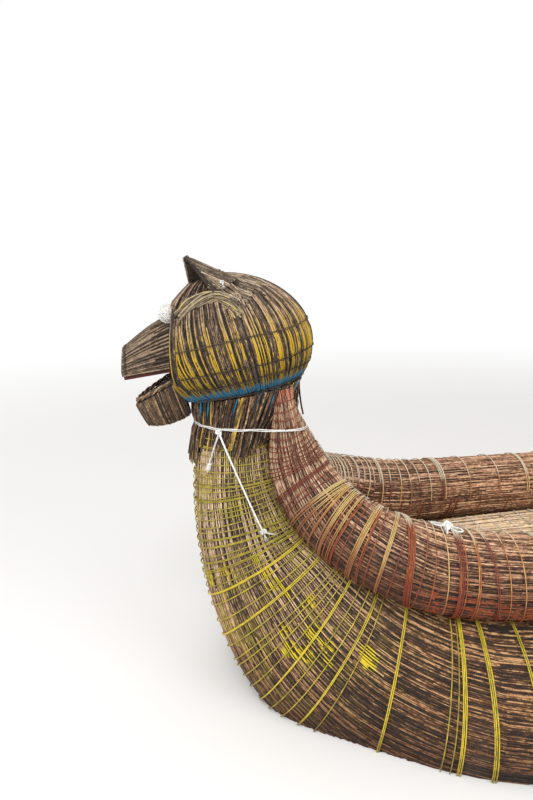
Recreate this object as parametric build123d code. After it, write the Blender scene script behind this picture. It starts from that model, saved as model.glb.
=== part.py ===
"""Reed boat afloat, with an animal-head prow. Millimetres, +X to the bow, +Y to port, +Z up.

The origin is at the waterline amidships. Two fat reed bundles lie side by side, bend up into a
post at each end and carry a thinner gunwale roll each. A reed mat lies between the rolls.
"""

import os
from math import acos, cos, degrees, pi, radians, sin, sqrt

from build123d import *

os.makedirs("parts", exist_ok=True)

# Driving dimensions
DRAUGHT = 315
MIDBODY_DEPTH = 885
BUNDLE_SHARE = 0.56
ROLL_GAP = 1.0
ROPE_RADIUS = 10

# One row is one section of the port bundle: where its outer edge stands on the centre plane
# (x, z), how far its inward direction leans aft from upright, its depth along that direction,
# how far it reaches to port, the gunwale roll's radius and the roll's seat, in degrees from
# the inner crown towards port.
SECTION_COLUMNS = ("edge_x", "edge_z", "lean", "depth", "reach", "roll_radius", "seat")
STERN_SECTIONS = [
    (-3890, 1230, -84, 250, 125, 48, 34),
    (-3862, 830, -76, 345, 180, 88, 32),
    (-3715, 385, -57, 540, 315, 128, 31),
    (-3420, -5, -37, 760, 530, 158, 28),
    (-2950, -245, -17, 870, 800, 176, 23),
    (-2400, -305, -4, 885, 1025, 182, 19),
]
# Station, reach and roll seat
MIDBODY_STATIONS = [
    (-1800, 1112, 19),
    (-1200, 1143, 21),
    (-600, 1156, 22),
    (0, 1160, 22),
    (600, 1157, 22),
    (1200, 1146, 20),
    (1800, 1118, 16),
]
BOW_SECTIONS = [
    (2400, -305, 0, 885, 1045, 185, 12),
    (2850, -300, 10, 905, 933, 190, 13),
    (3300, -220, 22, 945, 705, 190, 20),
    (3620, 30, 34, 893, 540, 178, 25),
    (3780, 317, 44, 757, 400, 173, 28),
    (3873, 650, 59, 553, 300, 162, 21),
    (3906, 1000, 78, 415, 235, 142, 13),
    (3890, 1240, 84, 345, 214, 112, 14),
    (3857, 1534, 80, 305, 195, 62, 14),
]


def midbody_section(x, reach, seat):
    """A level section between the two ends."""
    return (x, -DRAUGHT, 0, MIDBODY_DEPTH, reach, 185, seat)


MIDBODY_SECTIONS = [midbody_section(*row) for row in MIDBODY_STATIONS]
SECTIONS = STERN_SECTIONS + MIDBODY_SECTIONS + BOW_SECTIONS
ROWS = [dict(zip(SECTION_COLUMNS, row)) for row in SECTIONS]


def section_plane(row):
    """The section's plane: local x runs to port and local y inward from the outer edge."""
    lean = radians(row["lean"])
    return Plane(
        origin=(row["edge_x"], 0, row["edge_z"]),
        x_dir=(0, 1, 0),
        z_dir=(cos(lean), 0, sin(lean)),
    )


def section_oval(row, proud=0.0):
    """Centre and radii of the oval that the port bundle's section is cut from."""
    across = BUNDLE_SHARE * row["reach"]
    along = row["depth"] / 2
    centre = (row["reach"] - across, along)
    return centre, across + proud, along + proud


def bundle_face(row, proud=0.0):
    """The oval's part on the port side, closed by a straight seam on the centre plane."""
    centre, across, along = section_oval(row, proud)
    cut = degrees(acos(-centre[0] / across))
    arc = EllipticalCenterArc(centre, across, along, start_angle=-cut, arc_size=2 * cut).edge()
    return section_plane(row).from_local_coords(Face(Wire([arc, Line(arc @ 1, arc @ 0).edge()])))


def roll_seat(row):
    """The gunwale roll's centre, in the section's plane, where it lies on the bundle."""
    centre, across, along = section_oval(row)
    seat = radians(row["seat"])
    normal = Vector(sin(seat) / across, cos(seat) / along).normalized()
    touch = Vector(centre[0] + across * sin(seat), centre[1] + along * cos(seat))
    return touch + normal * (row["roll_radius"] + ROLL_GAP)


def round_face(centre, direction, radius):
    """A disc square to a direction."""
    plane = Plane(origin=centre, x_dir=Vector(direction).cross(Vector(0, 1, 0)), z_dir=direction)
    return plane * Circle(radius)


def other_side(shape):
    """The starboard twin of a port piece."""
    return mirror(shape, about=Plane.XZ)


def path_directions(points):
    """The direction of a path at each of its points."""
    ahead = points[1:] + points[-1:]
    behind = points[:1] + points[:-1]
    return [(a - b).normalized() for a, b in zip(ahead, behind)]


def biggest(shape):
    """The largest solid of a shape."""
    return max(shape.solids(), key=lambda solid: solid.volume)


def without(shape, *others):
    """A shape with others cut away from it."""
    return Compound(shape.cut(*others).solids())


def tube(path, radius):
    """A round rope along a path."""
    return sweep(Plane(origin=path @ 0, z_dir=path % 0) * Circle(radius), path=path)


def side_plane(start, end):
    """The plane across the boat that holds a line drawn in side view, facing up from it."""
    along = Vector(end[0] - start[0], 0, end[1] - start[1]).normalized()
    return Plane(origin=(start[0], 0, start[1]), x_dir=along, z_dir=along.cross(Vector(0, 1, 0)))


# Hull bundles and gunwale rolls
bundle = loft([bundle_face(row) for row in ROWS])
ROLL_SPACING = 255
roll_stations = []
for row in ROWS:
    point = section_plane(row).from_local_coords(roll_seat(row))
    if not roll_stations or (point - roll_stations[-1][0]).length > ROLL_SPACING:
        roll_stations.append((point, row["roll_radius"]))
roll_points = [point for point, radius in roll_stations]
roll_ways = path_directions(roll_points)
roll = loft([round_face(p, way, r) for (p, r), way in zip(roll_stations, roll_ways)])
roll = biggest(without(roll, bundle))
bundle_twin = other_side(bundle)
roll_twin = other_side(roll)
HULL = (bundle, bundle_twin, roll, roll_twin)

# Reed bedding in the valley between the bundles, and the flat mat that lies on it
BEDDING_TOP = 585
BEDDING_GAP = 4
BEDDING_STEPS = 6
MAT_THICKNESS = 35
# Half widths at the after end, amidships and at the forward end
MAT_ENDS = (-2250, 2420)
MAT_HALF_WIDTHS = (440, 606, 412)


def bedding_face(row):
    """The valley's section: level on top, and just clear of both crowns below."""
    centre, across, along = section_oval(row)
    top = (BEDDING_TOP - row["edge_z"]) / cos(radians(row["lean"]))
    steps = [centre[0] * step / BEDDING_STEPS for step in range(BEDDING_STEPS + 1)]
    below = [
        (y, centre[1] + along * sqrt(1 - ((y - centre[0]) / across) ** 2) + BEDDING_GAP)
        for y in steps
    ]
    port = below + [(centre[0], top)]
    starboard = [(-y, z) for y, z in reversed(port[1:])]
    outline = make_face(Polyline(*starboard, *port, close=True))
    return section_plane(row).from_local_coords(outline)


def boat_shaped_face(ends, half_widths):
    """An outline with straight ends and bowed sides, in plan."""
    aft, forward = ends
    middle = (aft + forward) / 2
    corners = [
        (aft, half_widths[0]),
        (forward, half_widths[2]),
        (forward, -half_widths[2]),
        (aft, -half_widths[0]),
    ]
    edges = [
        ThreePointArc(corners[0], (middle, half_widths[1]), corners[1]).edge(),
        Line(corners[1], corners[2]).edge(),
        ThreePointArc(corners[2], (middle, -half_widths[1]), corners[3]).edge(),
        Line(corners[3], corners[0]).edge(),
    ]
    return Face(Wire(edges))


bedding_rows = [row for row in ROWS if abs(row["edge_x"]) <= 2400]
bedding = loft([bedding_face(row) for row in bedding_rows], ruled=True)
deck_mat = Pos(0, 0, BEDDING_TOP) * extrude(
    boat_shaped_face(MAT_ENDS, MAT_HALF_WIDTHS), MAT_THICKNESS, dir=(0, 0, 1)
)

# Skull: an egg cut flat at the face, the forehead and the band above the neck
SKULL_CENTRE = (3743, 0, 1790)
SKULL_RADII = (414, 324, 326)
BAND_LINE = ((3387, 1630), (3945, 1520))
FOREHEAD_LINE = ((3930, 2050), (4070, 1900))
FACE_X = 4000


def egg_at(centre, radii):
    """A ball stretched to three radii."""
    unit = 100
    return Pos(*centre) * scale(Sphere(unit), by=tuple(radius / unit for radius in radii))


def head_cuts(shape):
    """Cuts a head shape at the band, the forehead and the face."""
    shape = split(shape, bisect_by=side_plane(*BAND_LINE), keep=Keep.TOP)
    shape = split(shape, bisect_by=side_plane(*FOREHEAD_LINE), keep=Keep.BOTTOM)
    face = Plane(origin=(FACE_X, 0, 0), z_dir=(1, 0, 0))
    return split(shape, bisect_by=face, keep=Keep.BOTTOM)


skull = head_cuts(egg_at(SKULL_CENTRE, SKULL_RADII))


def half_round_face(x, base_z, half_width, height):
    """A half-round section standing across the boat on a level base."""
    arc = EllipticalCenterArc((0, 0), half_width, height, start_angle=0, arc_size=180).edge()
    face = Face(Wire([arc, Line(arc @ 1, arc @ 0).edge()]))
    plane = Plane(origin=(x, 0, base_z), x_dir=(0, 1, 0), z_dir=(1, 0, 0))
    return plane.from_local_coords(face)


# Upper jaw, with the flat palate under it
UPPER_JAW = [(3960, 1701, 195, 259), (4110, 1669, 132, 203), (4245, 1640, 76, 124)]
PALATE_THICKNESS = 16
upper_jaw = biggest(loft([half_round_face(*row) for row in UPPER_JAW]) - skull)
palate_line = ((UPPER_JAW[0][0], UPPER_JAW[0][1]), (UPPER_JAW[-1][0], UPPER_JAW[-1][1]))
palate_plane = side_plane(*palate_line).offset(-1)
PALATE_CORNERS = [(41, 158), (288, 68), (288, -68), (41, -158)]
palate_face = palate_plane * make_face(Polyline(*PALATE_CORNERS, close=True))
palate = extrude(palate_face, -PALATE_THICKNESS)
palate = biggest(without(palate, skull))


def trough_face(rim, keel, half_width, wall=0.0):
    """A half-round section hanging from a rim point to a keel point, drawn in side view."""
    down = Vector(keel[0] - rim[0], 0, keel[1] - rim[1])
    depth = down.length - wall
    arc = EllipticalCenterArc(
        (0, 0), half_width - wall, depth, start_angle=180, arc_size=180
    ).edge()
    face = Face(Wire([arc, Line(arc @ 1, arc @ 0).edge()]))
    along = down.normalized().cross(Vector(0, 1, 0))
    return Plane(origin=(rim[0], 0, rim[1]), x_dir=(0, 1, 0), z_dir=along).from_local_coords(face)


# Lower jaw: a scoop open at the top, with a thick rim
LOWER_JAW = [
    ((3985, 1625), (3925, 1442), 160),
    ((4090, 1560), (4035, 1394), 118),
    ((4185, 1503), (4131, 1390), 66),
]
JAW_WALL = 28
HOLLOW_END = ((4157, 1520), (4103, 1393), 82)
scoop = loft([trough_face(*row) for row in LOWER_JAW])
hollow = loft([trough_face(*row, wall=JAW_WALL) for row in [*LOWER_JAW[:-1], HOLLOW_END]])
lower_jaw = biggest(without(scoop, hollow, skull, upper_jaw, palate))

# Brow rolls, which arch over the sides of the face
BROW_RADIUS = 25
BROW_PATH = [
    (3992, 214, 1912),
    (3905, 232, 1992),
    (3815, 234, 2022),
    (3742, 266, 1985),
    (3700, 294, 1930),
]
brow = biggest(tube(Spline(*BROW_PATH), BROW_RADIUS) - skull)

# Ears: cupped cones, open forward and outward
EAR_TIP = (3941, 150, 2200)
EAR_AXIS = (0.407, 0, 0.913)
EAR_HEIGHT = 190
EAR_SPREAD = 175
EAR_NARROWING = 0.62
EAR_WALL = 26
EAR_OPENING_TURN = 22


def ear_cone(drop):
    """The ear's cone, dropped along its own axis."""
    cone = Pos(0, 0, -EAR_HEIGHT / 2 - drop) * Cone(EAR_SPREAD, 3, EAR_HEIGHT)
    return scale(cone, by=(1, EAR_NARROWING, 1))


ear_plane = Plane(origin=EAR_TIP, x_dir=(EAR_AXIS[2], 0, -EAR_AXIS[0]), z_dir=EAR_AXIS)
opening = Rot(0, 0, EAR_OPENING_TURN) * Pos(200, 0, -100) * Box(400, 600, 600)
ear = ear_plane * without(ear_cone(0), ear_cone(EAR_WALL), opening)
ear = biggest(without(ear, skull, brow))

# Eyes, at the inner ends of the brows
EYE_CENTRE = (4031, 100, 1934)
EYE_RADIUS = 36
eye = biggest(without(Pos(*EYE_CENTRE) * Sphere(EYE_RADIUS), skull, upper_jaw, brow))

# Skirt of loose reeds, which closes the neck below the band
SKIRT_TOP = ((3645, 1574), 260, 240)
SKIRT_BOTTOM = ((3733, 1253), 177, 233)


def skirt_face(centre, along, across, proud=0.0):
    """An oval section of the skirt, parallel to the band."""
    band = side_plane(*BAND_LINE)
    plane = Plane(origin=(centre[0], 0, centre[1]), x_dir=band.x_dir, z_dir=band.z_dir)
    return plane * Ellipse(along + proud, across + proud)


skirt = loft([skirt_face(*SKIRT_BOTTOM), skirt_face(*SKIRT_TOP)])
skirt = biggest(without(skirt, *HULL, skull, lower_jaw))

# Rims: a bead round each cheek's front edge, and one along the lower jaw's lip
FACE_RIM_RADIUS = 20
FACE_RIM_PATH = [
    (3990, 196, 1960),
    (4000, 240, 1885),
    (4004, 258, 1790),
    (4000, 240, 1690),
    (3985, 196, 1620),
]
face_rim = tube(Spline(*FACE_RIM_PATH), FACE_RIM_RADIUS)
face_rim = biggest(without(face_rim, skull, upper_jaw, palate, brow, lower_jaw))

JAW_RIM_RADIUS = 12
JAW_RIM_PATH = [(4015, 138, 1622), (4090, 103, 1577), (4160, 65, 1532), (4184, 0, 1516)]
rim_twin_path = [(x, -y, z) for x, y, z in reversed(JAW_RIM_PATH[:-1])]
jaw_rim = tube(Spline(*JAW_RIM_PATH, *rim_twin_path), JAW_RIM_RADIUS)
jaw_rim = biggest(without(jaw_rim, lower_jaw, skull, palate, face_rim, other_side(face_rim)))

# Stitching: thread hoops sewn round the skull, level with the band
THREAD_RADIUS = 4
STITCH_HEIGHTS = (8, 135, 262)
STITCH_FRONT = 3975
band_plane = side_plane(*BAND_LINE)


def stitch_hoop(height):
    """A thread round the skull's sides and back at a height above the band, to the face rims."""
    reach_x, reach_y, reach_z = [radius + THREAD_RADIUS + 0.5 for radius in SKULL_RADII]
    start = band_plane.origin + band_plane.z_dir * height - Vector(*SKULL_CENTRE)
    way = band_plane.x_dir
    a = (way.X / reach_x) ** 2 + (way.Z / reach_z) ** 2
    b = start.X * way.X / reach_x**2 + start.Z * way.Z / reach_z**2
    c = (start.X / reach_x) ** 2 + (start.Z / reach_z) ** 2 - 1
    half = sqrt(b * b - a * c) / a
    middle = start + way * (-b / a)
    across = reach_y * sqrt(1 - (middle.X / reach_x) ** 2 - (middle.Z / reach_z) ** 2)
    middle += Vector(*SKULL_CENTRE)
    plane = Plane(origin=middle, x_dir=way, z_dir=band_plane.z_dir)
    end = degrees(acos((STITCH_FRONT - middle.X) / (half * way.X)))
    arc = EllipticalCenterArc((0, 0), half, across, start_angle=end, arc_size=360 - 2 * end)
    return tube(plane.from_local_coords(arc.edge()), THREAD_RADIUS)


head_stitching = Compound([stitch_hoop(height) for height in STITCH_HEIGHTS])


# Ties: tight ropes, which follow the outline that a taut line takes round several rounds
def taut_outline(ovals, count=30):
    """Evenly spaced points on the outline stretched round ovals (x, y, radius_x, radius_y)."""
    turns = [2 * pi * step / 48 for step in range(48)]
    cloud = sorted({(x + a * cos(t), y + b * sin(t)) for x, y, a, b in ovals for t in turns})

    def half(points):
        chain = []
        for p in points:
            while len(chain) > 1:
                (ax, ay), (bx, by) = chain[-2:]
                if (bx - ax) * (p[1] - ay) - (by - ay) * (p[0] - ax) > 0:
                    break
                chain.pop()
            chain.append(p)
        return chain[:-1]

    hull = half(cloud) + half(cloud[::-1])
    outline = Polyline(*hull, close=True)
    return [outline @ (step / count) for step in range(count)]


def tie_round(plane, ovals):
    """A tight rope round ovals that lie in a plane."""
    grow = ROPE_RADIUS + 1.5
    grown = [(x, y, a + grow, b + grow) for x, y, a, b in ovals]
    path = plane.from_local_coords(Spline(*taut_outline(grown), periodic=True).edge())
    return tube(path, ROPE_RADIUS)


NECK_TIE_CENTRE = (3708, 0, 1405)
NECK_TIE_OVALS = [(0, 0, 194, 234), (-241, 180, 77, 94), (-241, -180, 77, 94)]
neck_tie = tie_round(Plane(origin=NECK_TIE_CENTRE), NECK_TIE_OVALS)

binding_row = ROWS[1]
binding_centre, binding_across, binding_along = section_oval(binding_row)
binding_seat = roll_seat(binding_row)
binding_ovals = []
for side in (1, -1):
    binding_ovals.append((side * binding_centre[0], binding_centre[1], binding_across, binding_along))
    radius = binding_row["roll_radius"]
    binding_ovals.append((side * binding_seat.X, binding_seat.Y, radius, radius))
stern_binding = biggest(without(tie_round(section_plane(binding_row), binding_ovals), *HULL))

# Stern tuft: the cut reed ends above the stern post
TUFT_HEIGHT = 150
tuft_row = ROWS[0]
tuft_base = section_plane(tuft_row).offset(-1)
tuft_tip = section_plane(tuft_row).offset(-TUFT_HEIGHT)
tuft_middle = tuft_row["depth"] / 2
stern_tuft = loft([
    tuft_base * Pos(0, tuft_middle) * Ellipse(tuft_row["reach"] - 3, tuft_middle - 3),
    tuft_tip * Pos(0, tuft_middle) * Ellipse(tuft_row["reach"] + 34, tuft_middle + 30),
])


# Lashings: bands of cord round each hull bundle and each gunwale roll
LASHING_PROUD = 8
LASHING_WIDTH = 30
HULL_LASHING_ROWS = [6, 8, 10, 12, 14]
ROLL_LASHING_STATIONS = [5, 7, 9, 11, 13]


def hull_lashing(row):
    """A band round the outside of the port bundle, from its seam below to the roll's foot."""
    band = extrude(bundle_face(row, LASHING_PROUD), LASHING_WIDTH / 2, both=True)
    band = without(band, roll, bedding, deck_mat)
    return biggest(without(band, bundle))


def roll_lashing(station, way):
    """A band round the port gunwale roll, above the bundle that it lies on."""
    centre, radius = station
    band = extrude(round_face(centre, way, radius + LASHING_PROUD), LASHING_WIDTH / 2, both=True)
    band = without(band, bundle)
    return biggest(without(band, roll, deck_mat))


hull_lashings = Compound([hull_lashing(ROWS[index]) for index in HULL_LASHING_ROWS])
roll_lashings = Compound(
    [roll_lashing(roll_stations[index], roll_ways[index]) for index in ROLL_LASHING_STATIONS]
)

# Hanging ropes: two tails from one knot on the neck tie
TAIL_RADIUS = 5
NECK_KNOT = (3805, 236, 1396)
NECK_KNOT_RADIUS = 18
LONG_TAIL = [
    (3802, 241, 1384),
    (3783, 248, 1333),
    (3751, 246, 1253),
    (3714, 246, 1162),
    (3673, 256, 1064),
    (3637, 272, 982),
    (3606, 291, 912),
]
SHORT_TAIL = [(3809, 241, 1384), (3824, 242, 1340), (3841, 234, 1284), (3855, 215, 1222)]
LONG_TAIL_KNOT_RADIUS = 20
SHORT_TAIL_KNOT_RADIUS = 17
long_tail = tube(Spline(*LONG_TAIL), TAIL_RADIUS)
short_tail = biggest(without(tube(Spline(*SHORT_TAIL), TAIL_RADIUS), long_tail))
neck_knot = Pos(*NECK_KNOT) * Sphere(NECK_KNOT_RADIUS)
neck_knot = biggest(without(neck_knot, neck_tie, long_tail, short_tail))
long_tail_knot = biggest(without(Pos(*LONG_TAIL[-1]) * Sphere(LONG_TAIL_KNOT_RADIUS), long_tail))
short_tail_knot = biggest(without(Pos(*SHORT_TAIL[-1]) * Sphere(SHORT_TAIL_KNOT_RADIUS), short_tail))

# The knot of a line made fast on the port roll, pressed flat
GUNWALE_KNOT = (2790, 528, 988)
GUNWALE_KNOT_RADII = (45, 30, 24)
gunwale_knot = biggest(without(egg_at(GUNWALE_KNOT, GUNWALE_KNOT_RADII), roll))

PIECES = {
    "hull_bundle_port": bundle,
    "hull_bundle_starboard": bundle_twin,
    "gunwale_roll_port": roll,
    "gunwale_roll_starboard": roll_twin,
    "deck_mat": deck_mat,
    "deck_bedding": bedding,
    "head_skull": skull,
    "upper_jaw": upper_jaw,
    "palate": palate,
    "lower_jaw": lower_jaw,
    "jaw_rim": jaw_rim,
    "face_rim_port": face_rim,
    "face_rim_starboard": other_side(face_rim),
    "brow_roll_port": brow,
    "brow_roll_starboard": other_side(brow),
    "ear_port": ear,
    "ear_starboard": other_side(ear),
    "eye_port": eye,
    "eye_starboard": other_side(eye),
    "neck_skirt": skirt,
    "neck_tie": neck_tie,
    "head_stitching": head_stitching,
    "hull_lashings_port": hull_lashings,
    "hull_lashings_starboard": other_side(hull_lashings),
    "roll_lashings_port": roll_lashings,
    "roll_lashings_starboard": other_side(roll_lashings),
    "stern_binding": stern_binding,
    "stern_tuft": stern_tuft,
    "neck_rope": long_tail,
    "neck_rope_end_knot": long_tail_knot,
    "short_rope": short_tail,
    "short_rope_knot": short_tail_knot,
    "neck_rope_knot": neck_knot,
    "gunwale_knot": gunwale_knot,
}
for name, piece in PIECES.items():
    export_step(piece, f"parts/{name}.step")
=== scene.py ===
"""Reed boat afloat, with an animal-head prow, dressed in its reeds and cords.

Metres, +X to the bow, +Y to port, +Z up. The origin is at the waterline amidships.
"""

import random
from math import asin, cos, pi, radians, sin, sqrt

import bmesh
import bpy
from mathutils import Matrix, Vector, noise
from mathutils.bvhtree import BVHTree


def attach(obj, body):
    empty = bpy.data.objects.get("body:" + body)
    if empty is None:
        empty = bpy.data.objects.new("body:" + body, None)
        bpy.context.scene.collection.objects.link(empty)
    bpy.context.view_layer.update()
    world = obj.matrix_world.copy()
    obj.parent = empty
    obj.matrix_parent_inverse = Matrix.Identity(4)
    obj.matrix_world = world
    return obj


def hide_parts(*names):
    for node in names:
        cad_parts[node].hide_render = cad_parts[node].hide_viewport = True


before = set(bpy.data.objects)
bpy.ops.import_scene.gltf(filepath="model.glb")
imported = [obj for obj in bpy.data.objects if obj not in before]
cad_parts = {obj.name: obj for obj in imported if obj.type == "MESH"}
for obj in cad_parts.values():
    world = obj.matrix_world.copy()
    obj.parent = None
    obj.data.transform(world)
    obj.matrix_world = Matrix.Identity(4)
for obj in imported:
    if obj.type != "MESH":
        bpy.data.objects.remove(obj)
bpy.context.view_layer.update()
rng = random.Random(7)
collection = bpy.context.scene.collection
FORE = Vector((1, 0, 0))
PORT = Vector((0, 1, 0))
UP = Vector((0, 0, 1))

# Camera: the photograph's view of the port bow
CAMERA_PLACE = (4.0, 3.177, 2.16)
CAMERA_WAY = Vector((-0.138, -0.969, -0.203))
camera_data = bpy.data.cameras.new("camera")
camera_data.sensor_width = 36
camera_data.lens = 29.25
camera = bpy.data.objects.new("camera", camera_data)
camera.location = CAMERA_PLACE
camera.rotation_euler = CAMERA_WAY.to_track_quat("-Z", "Y").to_euler()
collection.objects.link(camera)
bpy.context.scene.camera = camera

# Hanging ropes: the routes of their solids
LONG_TAIL = [
    (3.802, 0.241, 1.384), (3.783, 0.248, 1.333), (3.751, 0.246, 1.253), (3.714, 0.246, 1.162),
    (3.673, 0.256, 1.064), (3.637, 0.272, 0.982), (3.606, 0.291, 0.912),
]
SHORT_TAIL = [
    (3.809, 0.241, 1.384), (3.824, 0.242, 1.340), (3.841, 0.234, 1.284), (3.855, 0.215, 1.222),
]
TAIL_DIAMETER = 0.010


def rope_line(name, route):
    """The smooth line that a rope's route gives, in short steps."""
    curve = bpy.data.curves.new(name + "_line", "CURVE")
    curve.dimensions = "3D"
    curve.resolution_u = 32
    spline = curve.splines.new("NURBS")
    spline.points.add(len(route) - 1)
    for point, spot in zip(spline.points, route):
        point.co = (*spot, 1)
    spline.order_u = 3
    spline.use_endpoint_u = True
    holder = bpy.data.objects.new(name + "_line", curve)
    collection.objects.link(holder)
    bpy.context.view_layer.update()
    graph = bpy.context.evaluated_depsgraph_get()
    mesh = bpy.data.meshes.new_from_object(holder.evaluated_get(graph), depsgraph=graph)
    line = [vertex.co.copy() for vertex in mesh.vertices]
    bpy.data.objects.remove(holder)
    return line


long_line = rope_line("neck_rope", LONG_TAIL)
short_line = rope_line("short_rope", SHORT_TAIL)

# Hull sections, as the solids have them
SECTION_COLUMNS = ("edge_x", "edge_z", "lean", "depth", "reach", "roll_radius", "seat")
SECTIONS = [
    (-3.890, 1.230, -84, 0.250, 0.125, 0.048, 34),
    (-3.862, 0.830, -76, 0.345, 0.180, 0.088, 32),
    (-3.715, 0.385, -57, 0.540, 0.315, 0.128, 31),
    (-3.420, -0.005, -37, 0.760, 0.530, 0.158, 28),
    (-2.950, -0.245, -17, 0.870, 0.800, 0.176, 23),
    (-2.400, -0.305, -4, 0.885, 1.025, 0.182, 19),
    (-1.800, -0.315, 0, 0.885, 1.112, 0.185, 19),
    (-1.200, -0.315, 0, 0.885, 1.143, 0.185, 21),
    (-0.600, -0.315, 0, 0.885, 1.156, 0.185, 22),
    (0.000, -0.315, 0, 0.885, 1.160, 0.185, 22),
    (0.600, -0.315, 0, 0.885, 1.157, 0.185, 22),
    (1.200, -0.315, 0, 0.885, 1.146, 0.185, 20),
    (1.800, -0.315, 0, 0.885, 1.118, 0.185, 16),
    (2.400, -0.305, 0, 0.885, 1.045, 0.185, 12),
    (2.850, -0.300, 10, 0.905, 0.933, 0.190, 13),
    (3.300, -0.220, 22, 0.945, 0.705, 0.190, 20),
    (3.620, 0.030, 34, 0.893, 0.540, 0.178, 25),
    (3.780, 0.317, 44, 0.757, 0.400, 0.173, 28),
    (3.873, 0.650, 59, 0.553, 0.300, 0.162, 21),
    (3.906, 1.000, 78, 0.415, 0.235, 0.142, 13),
    (3.890, 1.240, 84, 0.345, 0.214, 0.112, 14),
    (3.857, 1.534, 80, 0.305, 0.195, 0.062, 14),
]
BUNDLE_SHARE = 0.56
LAST_SECTION = len(SECTIONS) - 1
SEAM_TURN = radians(141)

# The band that ends the head above the neck, in side view
BAND_AFT = Vector((3.387, 0, 1.630))
BAND_WAY = (Vector((3.945, 0, 1.520)) - BAND_AFT).normalized()
BAND_UP = BAND_WAY.cross(PORT)


# Materials
class Shade:
    """A shader socket that arithmetic can be written with."""

    def __init__(self, graph, socket):
        self.graph = graph
        self.socket = socket

    def math(self, operation, *values):
        return self.graph.node("ShaderNodeMath", {"operation": operation}, values)

    def __add__(self, other):
        return self.math("ADD", self, other)

    __radd__ = __add__

    def __sub__(self, other):
        return self.math("SUBTRACT", self, other)

    def __rsub__(self, other):
        return self.math("SUBTRACT", other, self)

    def __mul__(self, other):
        return self.math("MULTIPLY", self, other)

    __rmul__ = __mul__

    def __truediv__(self, other):
        return self.math("DIVIDE", self, other)

    def __rtruediv__(self, other):
        return self.math("DIVIDE", other, self)

    def step(self, edge, soft=0.05):
        """0 below an edge and 1 above it, or the other way round for a negative softness."""
        settings = {"interpolation_type": "SMOOTHSTEP"}
        sockets = {"Value": self, "From Min": edge - abs(soft), "From Max": edge + abs(soft)}
        if soft < 0:
            sockets.update({"To Min": 1.0, "To Max": 0.0})
        return self.graph.node("ShaderNodeMapRange", settings, sockets)

    def ramp(self, *stops):
        """A colour picked along stops of (place, colour)."""
        return self.graph.node("ShaderNodeValToRGB", {"stops": stops}, (self,))


def set_stops(elements, stops):
    """Gives a ramp its stops of (place, colour)."""
    while len(elements) < len(stops):
        elements.new(0.5)
    for element, (place, colour) in zip(elements, stops):
        element.position = place
        element.color = (*colour, 1)


class Graph:
    """The nodes of a material or of the world, and what its expressions add to them."""

    def __init__(self, owner):
        owner.use_nodes = True
        self.owner = owner
        self.nodes = owner.node_tree.nodes
        self.links = owner.node_tree.links
        self.axes = {}

    def feed(self, socket, value):
        if isinstance(value, Shade):
            self.links.new(value.socket, socket)
            return
        if socket.type == "RGBA" and len(value) == 3:
            value = (*value, 1)
        socket.default_value = value

    def node(self, kind, settings=None, sockets=(), output=0):
        """Adds a node: its settings come first, then the values or links of its sockets."""
        node = self.nodes.new(kind)
        for key, value in (settings or {}).items():
            if key == "stops":
                set_stops(node.color_ramp.elements, value)
            else:
                setattr(node, key, value)
        pairs = sockets.items() if isinstance(sockets, dict) else enumerate(sockets)
        for key, value in pairs:
            self.feed(node.inputs[key], value)
        return Shade(self, node.outputs[output])

    def output_of(self, name):
        """The first output of a node that is there from the start."""
        return Shade(self, self.nodes[name].outputs[0])

    def mix(self, factor, a, b, blend="MIX"):
        settings = {"data_type": "RGBA", "blend_type": blend}
        return self.node("ShaderNodeMix", settings, {0: factor, 6: a, 7: b}, output=2)

    def place(self):
        return self.node("ShaderNodeTexCoord", output="Object")

    def axis(self, name):
        """A coordinate of the boat's frame."""
        if name not in self.axes:
            self.axes[name] = self.node("ShaderNodeSeparateXYZ", sockets=(self.place(),), output=name)
        return self.axes[name]

    def vector(self, x, y, z):
        return self.node("ShaderNodeCombineXYZ", sockets=(x, y, z))

    def attribute(self, name):
        return self.node("ShaderNodeAttribute", {"attribute_name": name}, output="Fac")

    def noise(self, vector, scale, detail=2.0, rough=0.5):
        sockets = {"Vector": vector, "Scale": scale, "Detail": detail, "Roughness": rough}
        return self.node("ShaderNodeTexNoise", sockets=sockets)

    def vector_math(self, operation, *values, output=0):
        return self.node("ShaderNodeVectorMath", {"operation": operation}, values, output)

    def finish(self, colour, roughness, height=None, strength=0.5, distance=0.002):
        shader = self.nodes["Principled BSDF"]
        self.feed(shader.inputs["Base Color"], colour)
        self.feed(shader.inputs["Roughness"], roughness)
        if height is not None:
            sockets = {"Strength": strength, "Distance": distance, "Height": height}
            self.feed(shader.inputs["Normal"], self.node("ShaderNodeBump", sockets=sockets))
        return self.owner


def material_graph(name):
    return Graph(bpy.data.materials.new(name))


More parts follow.
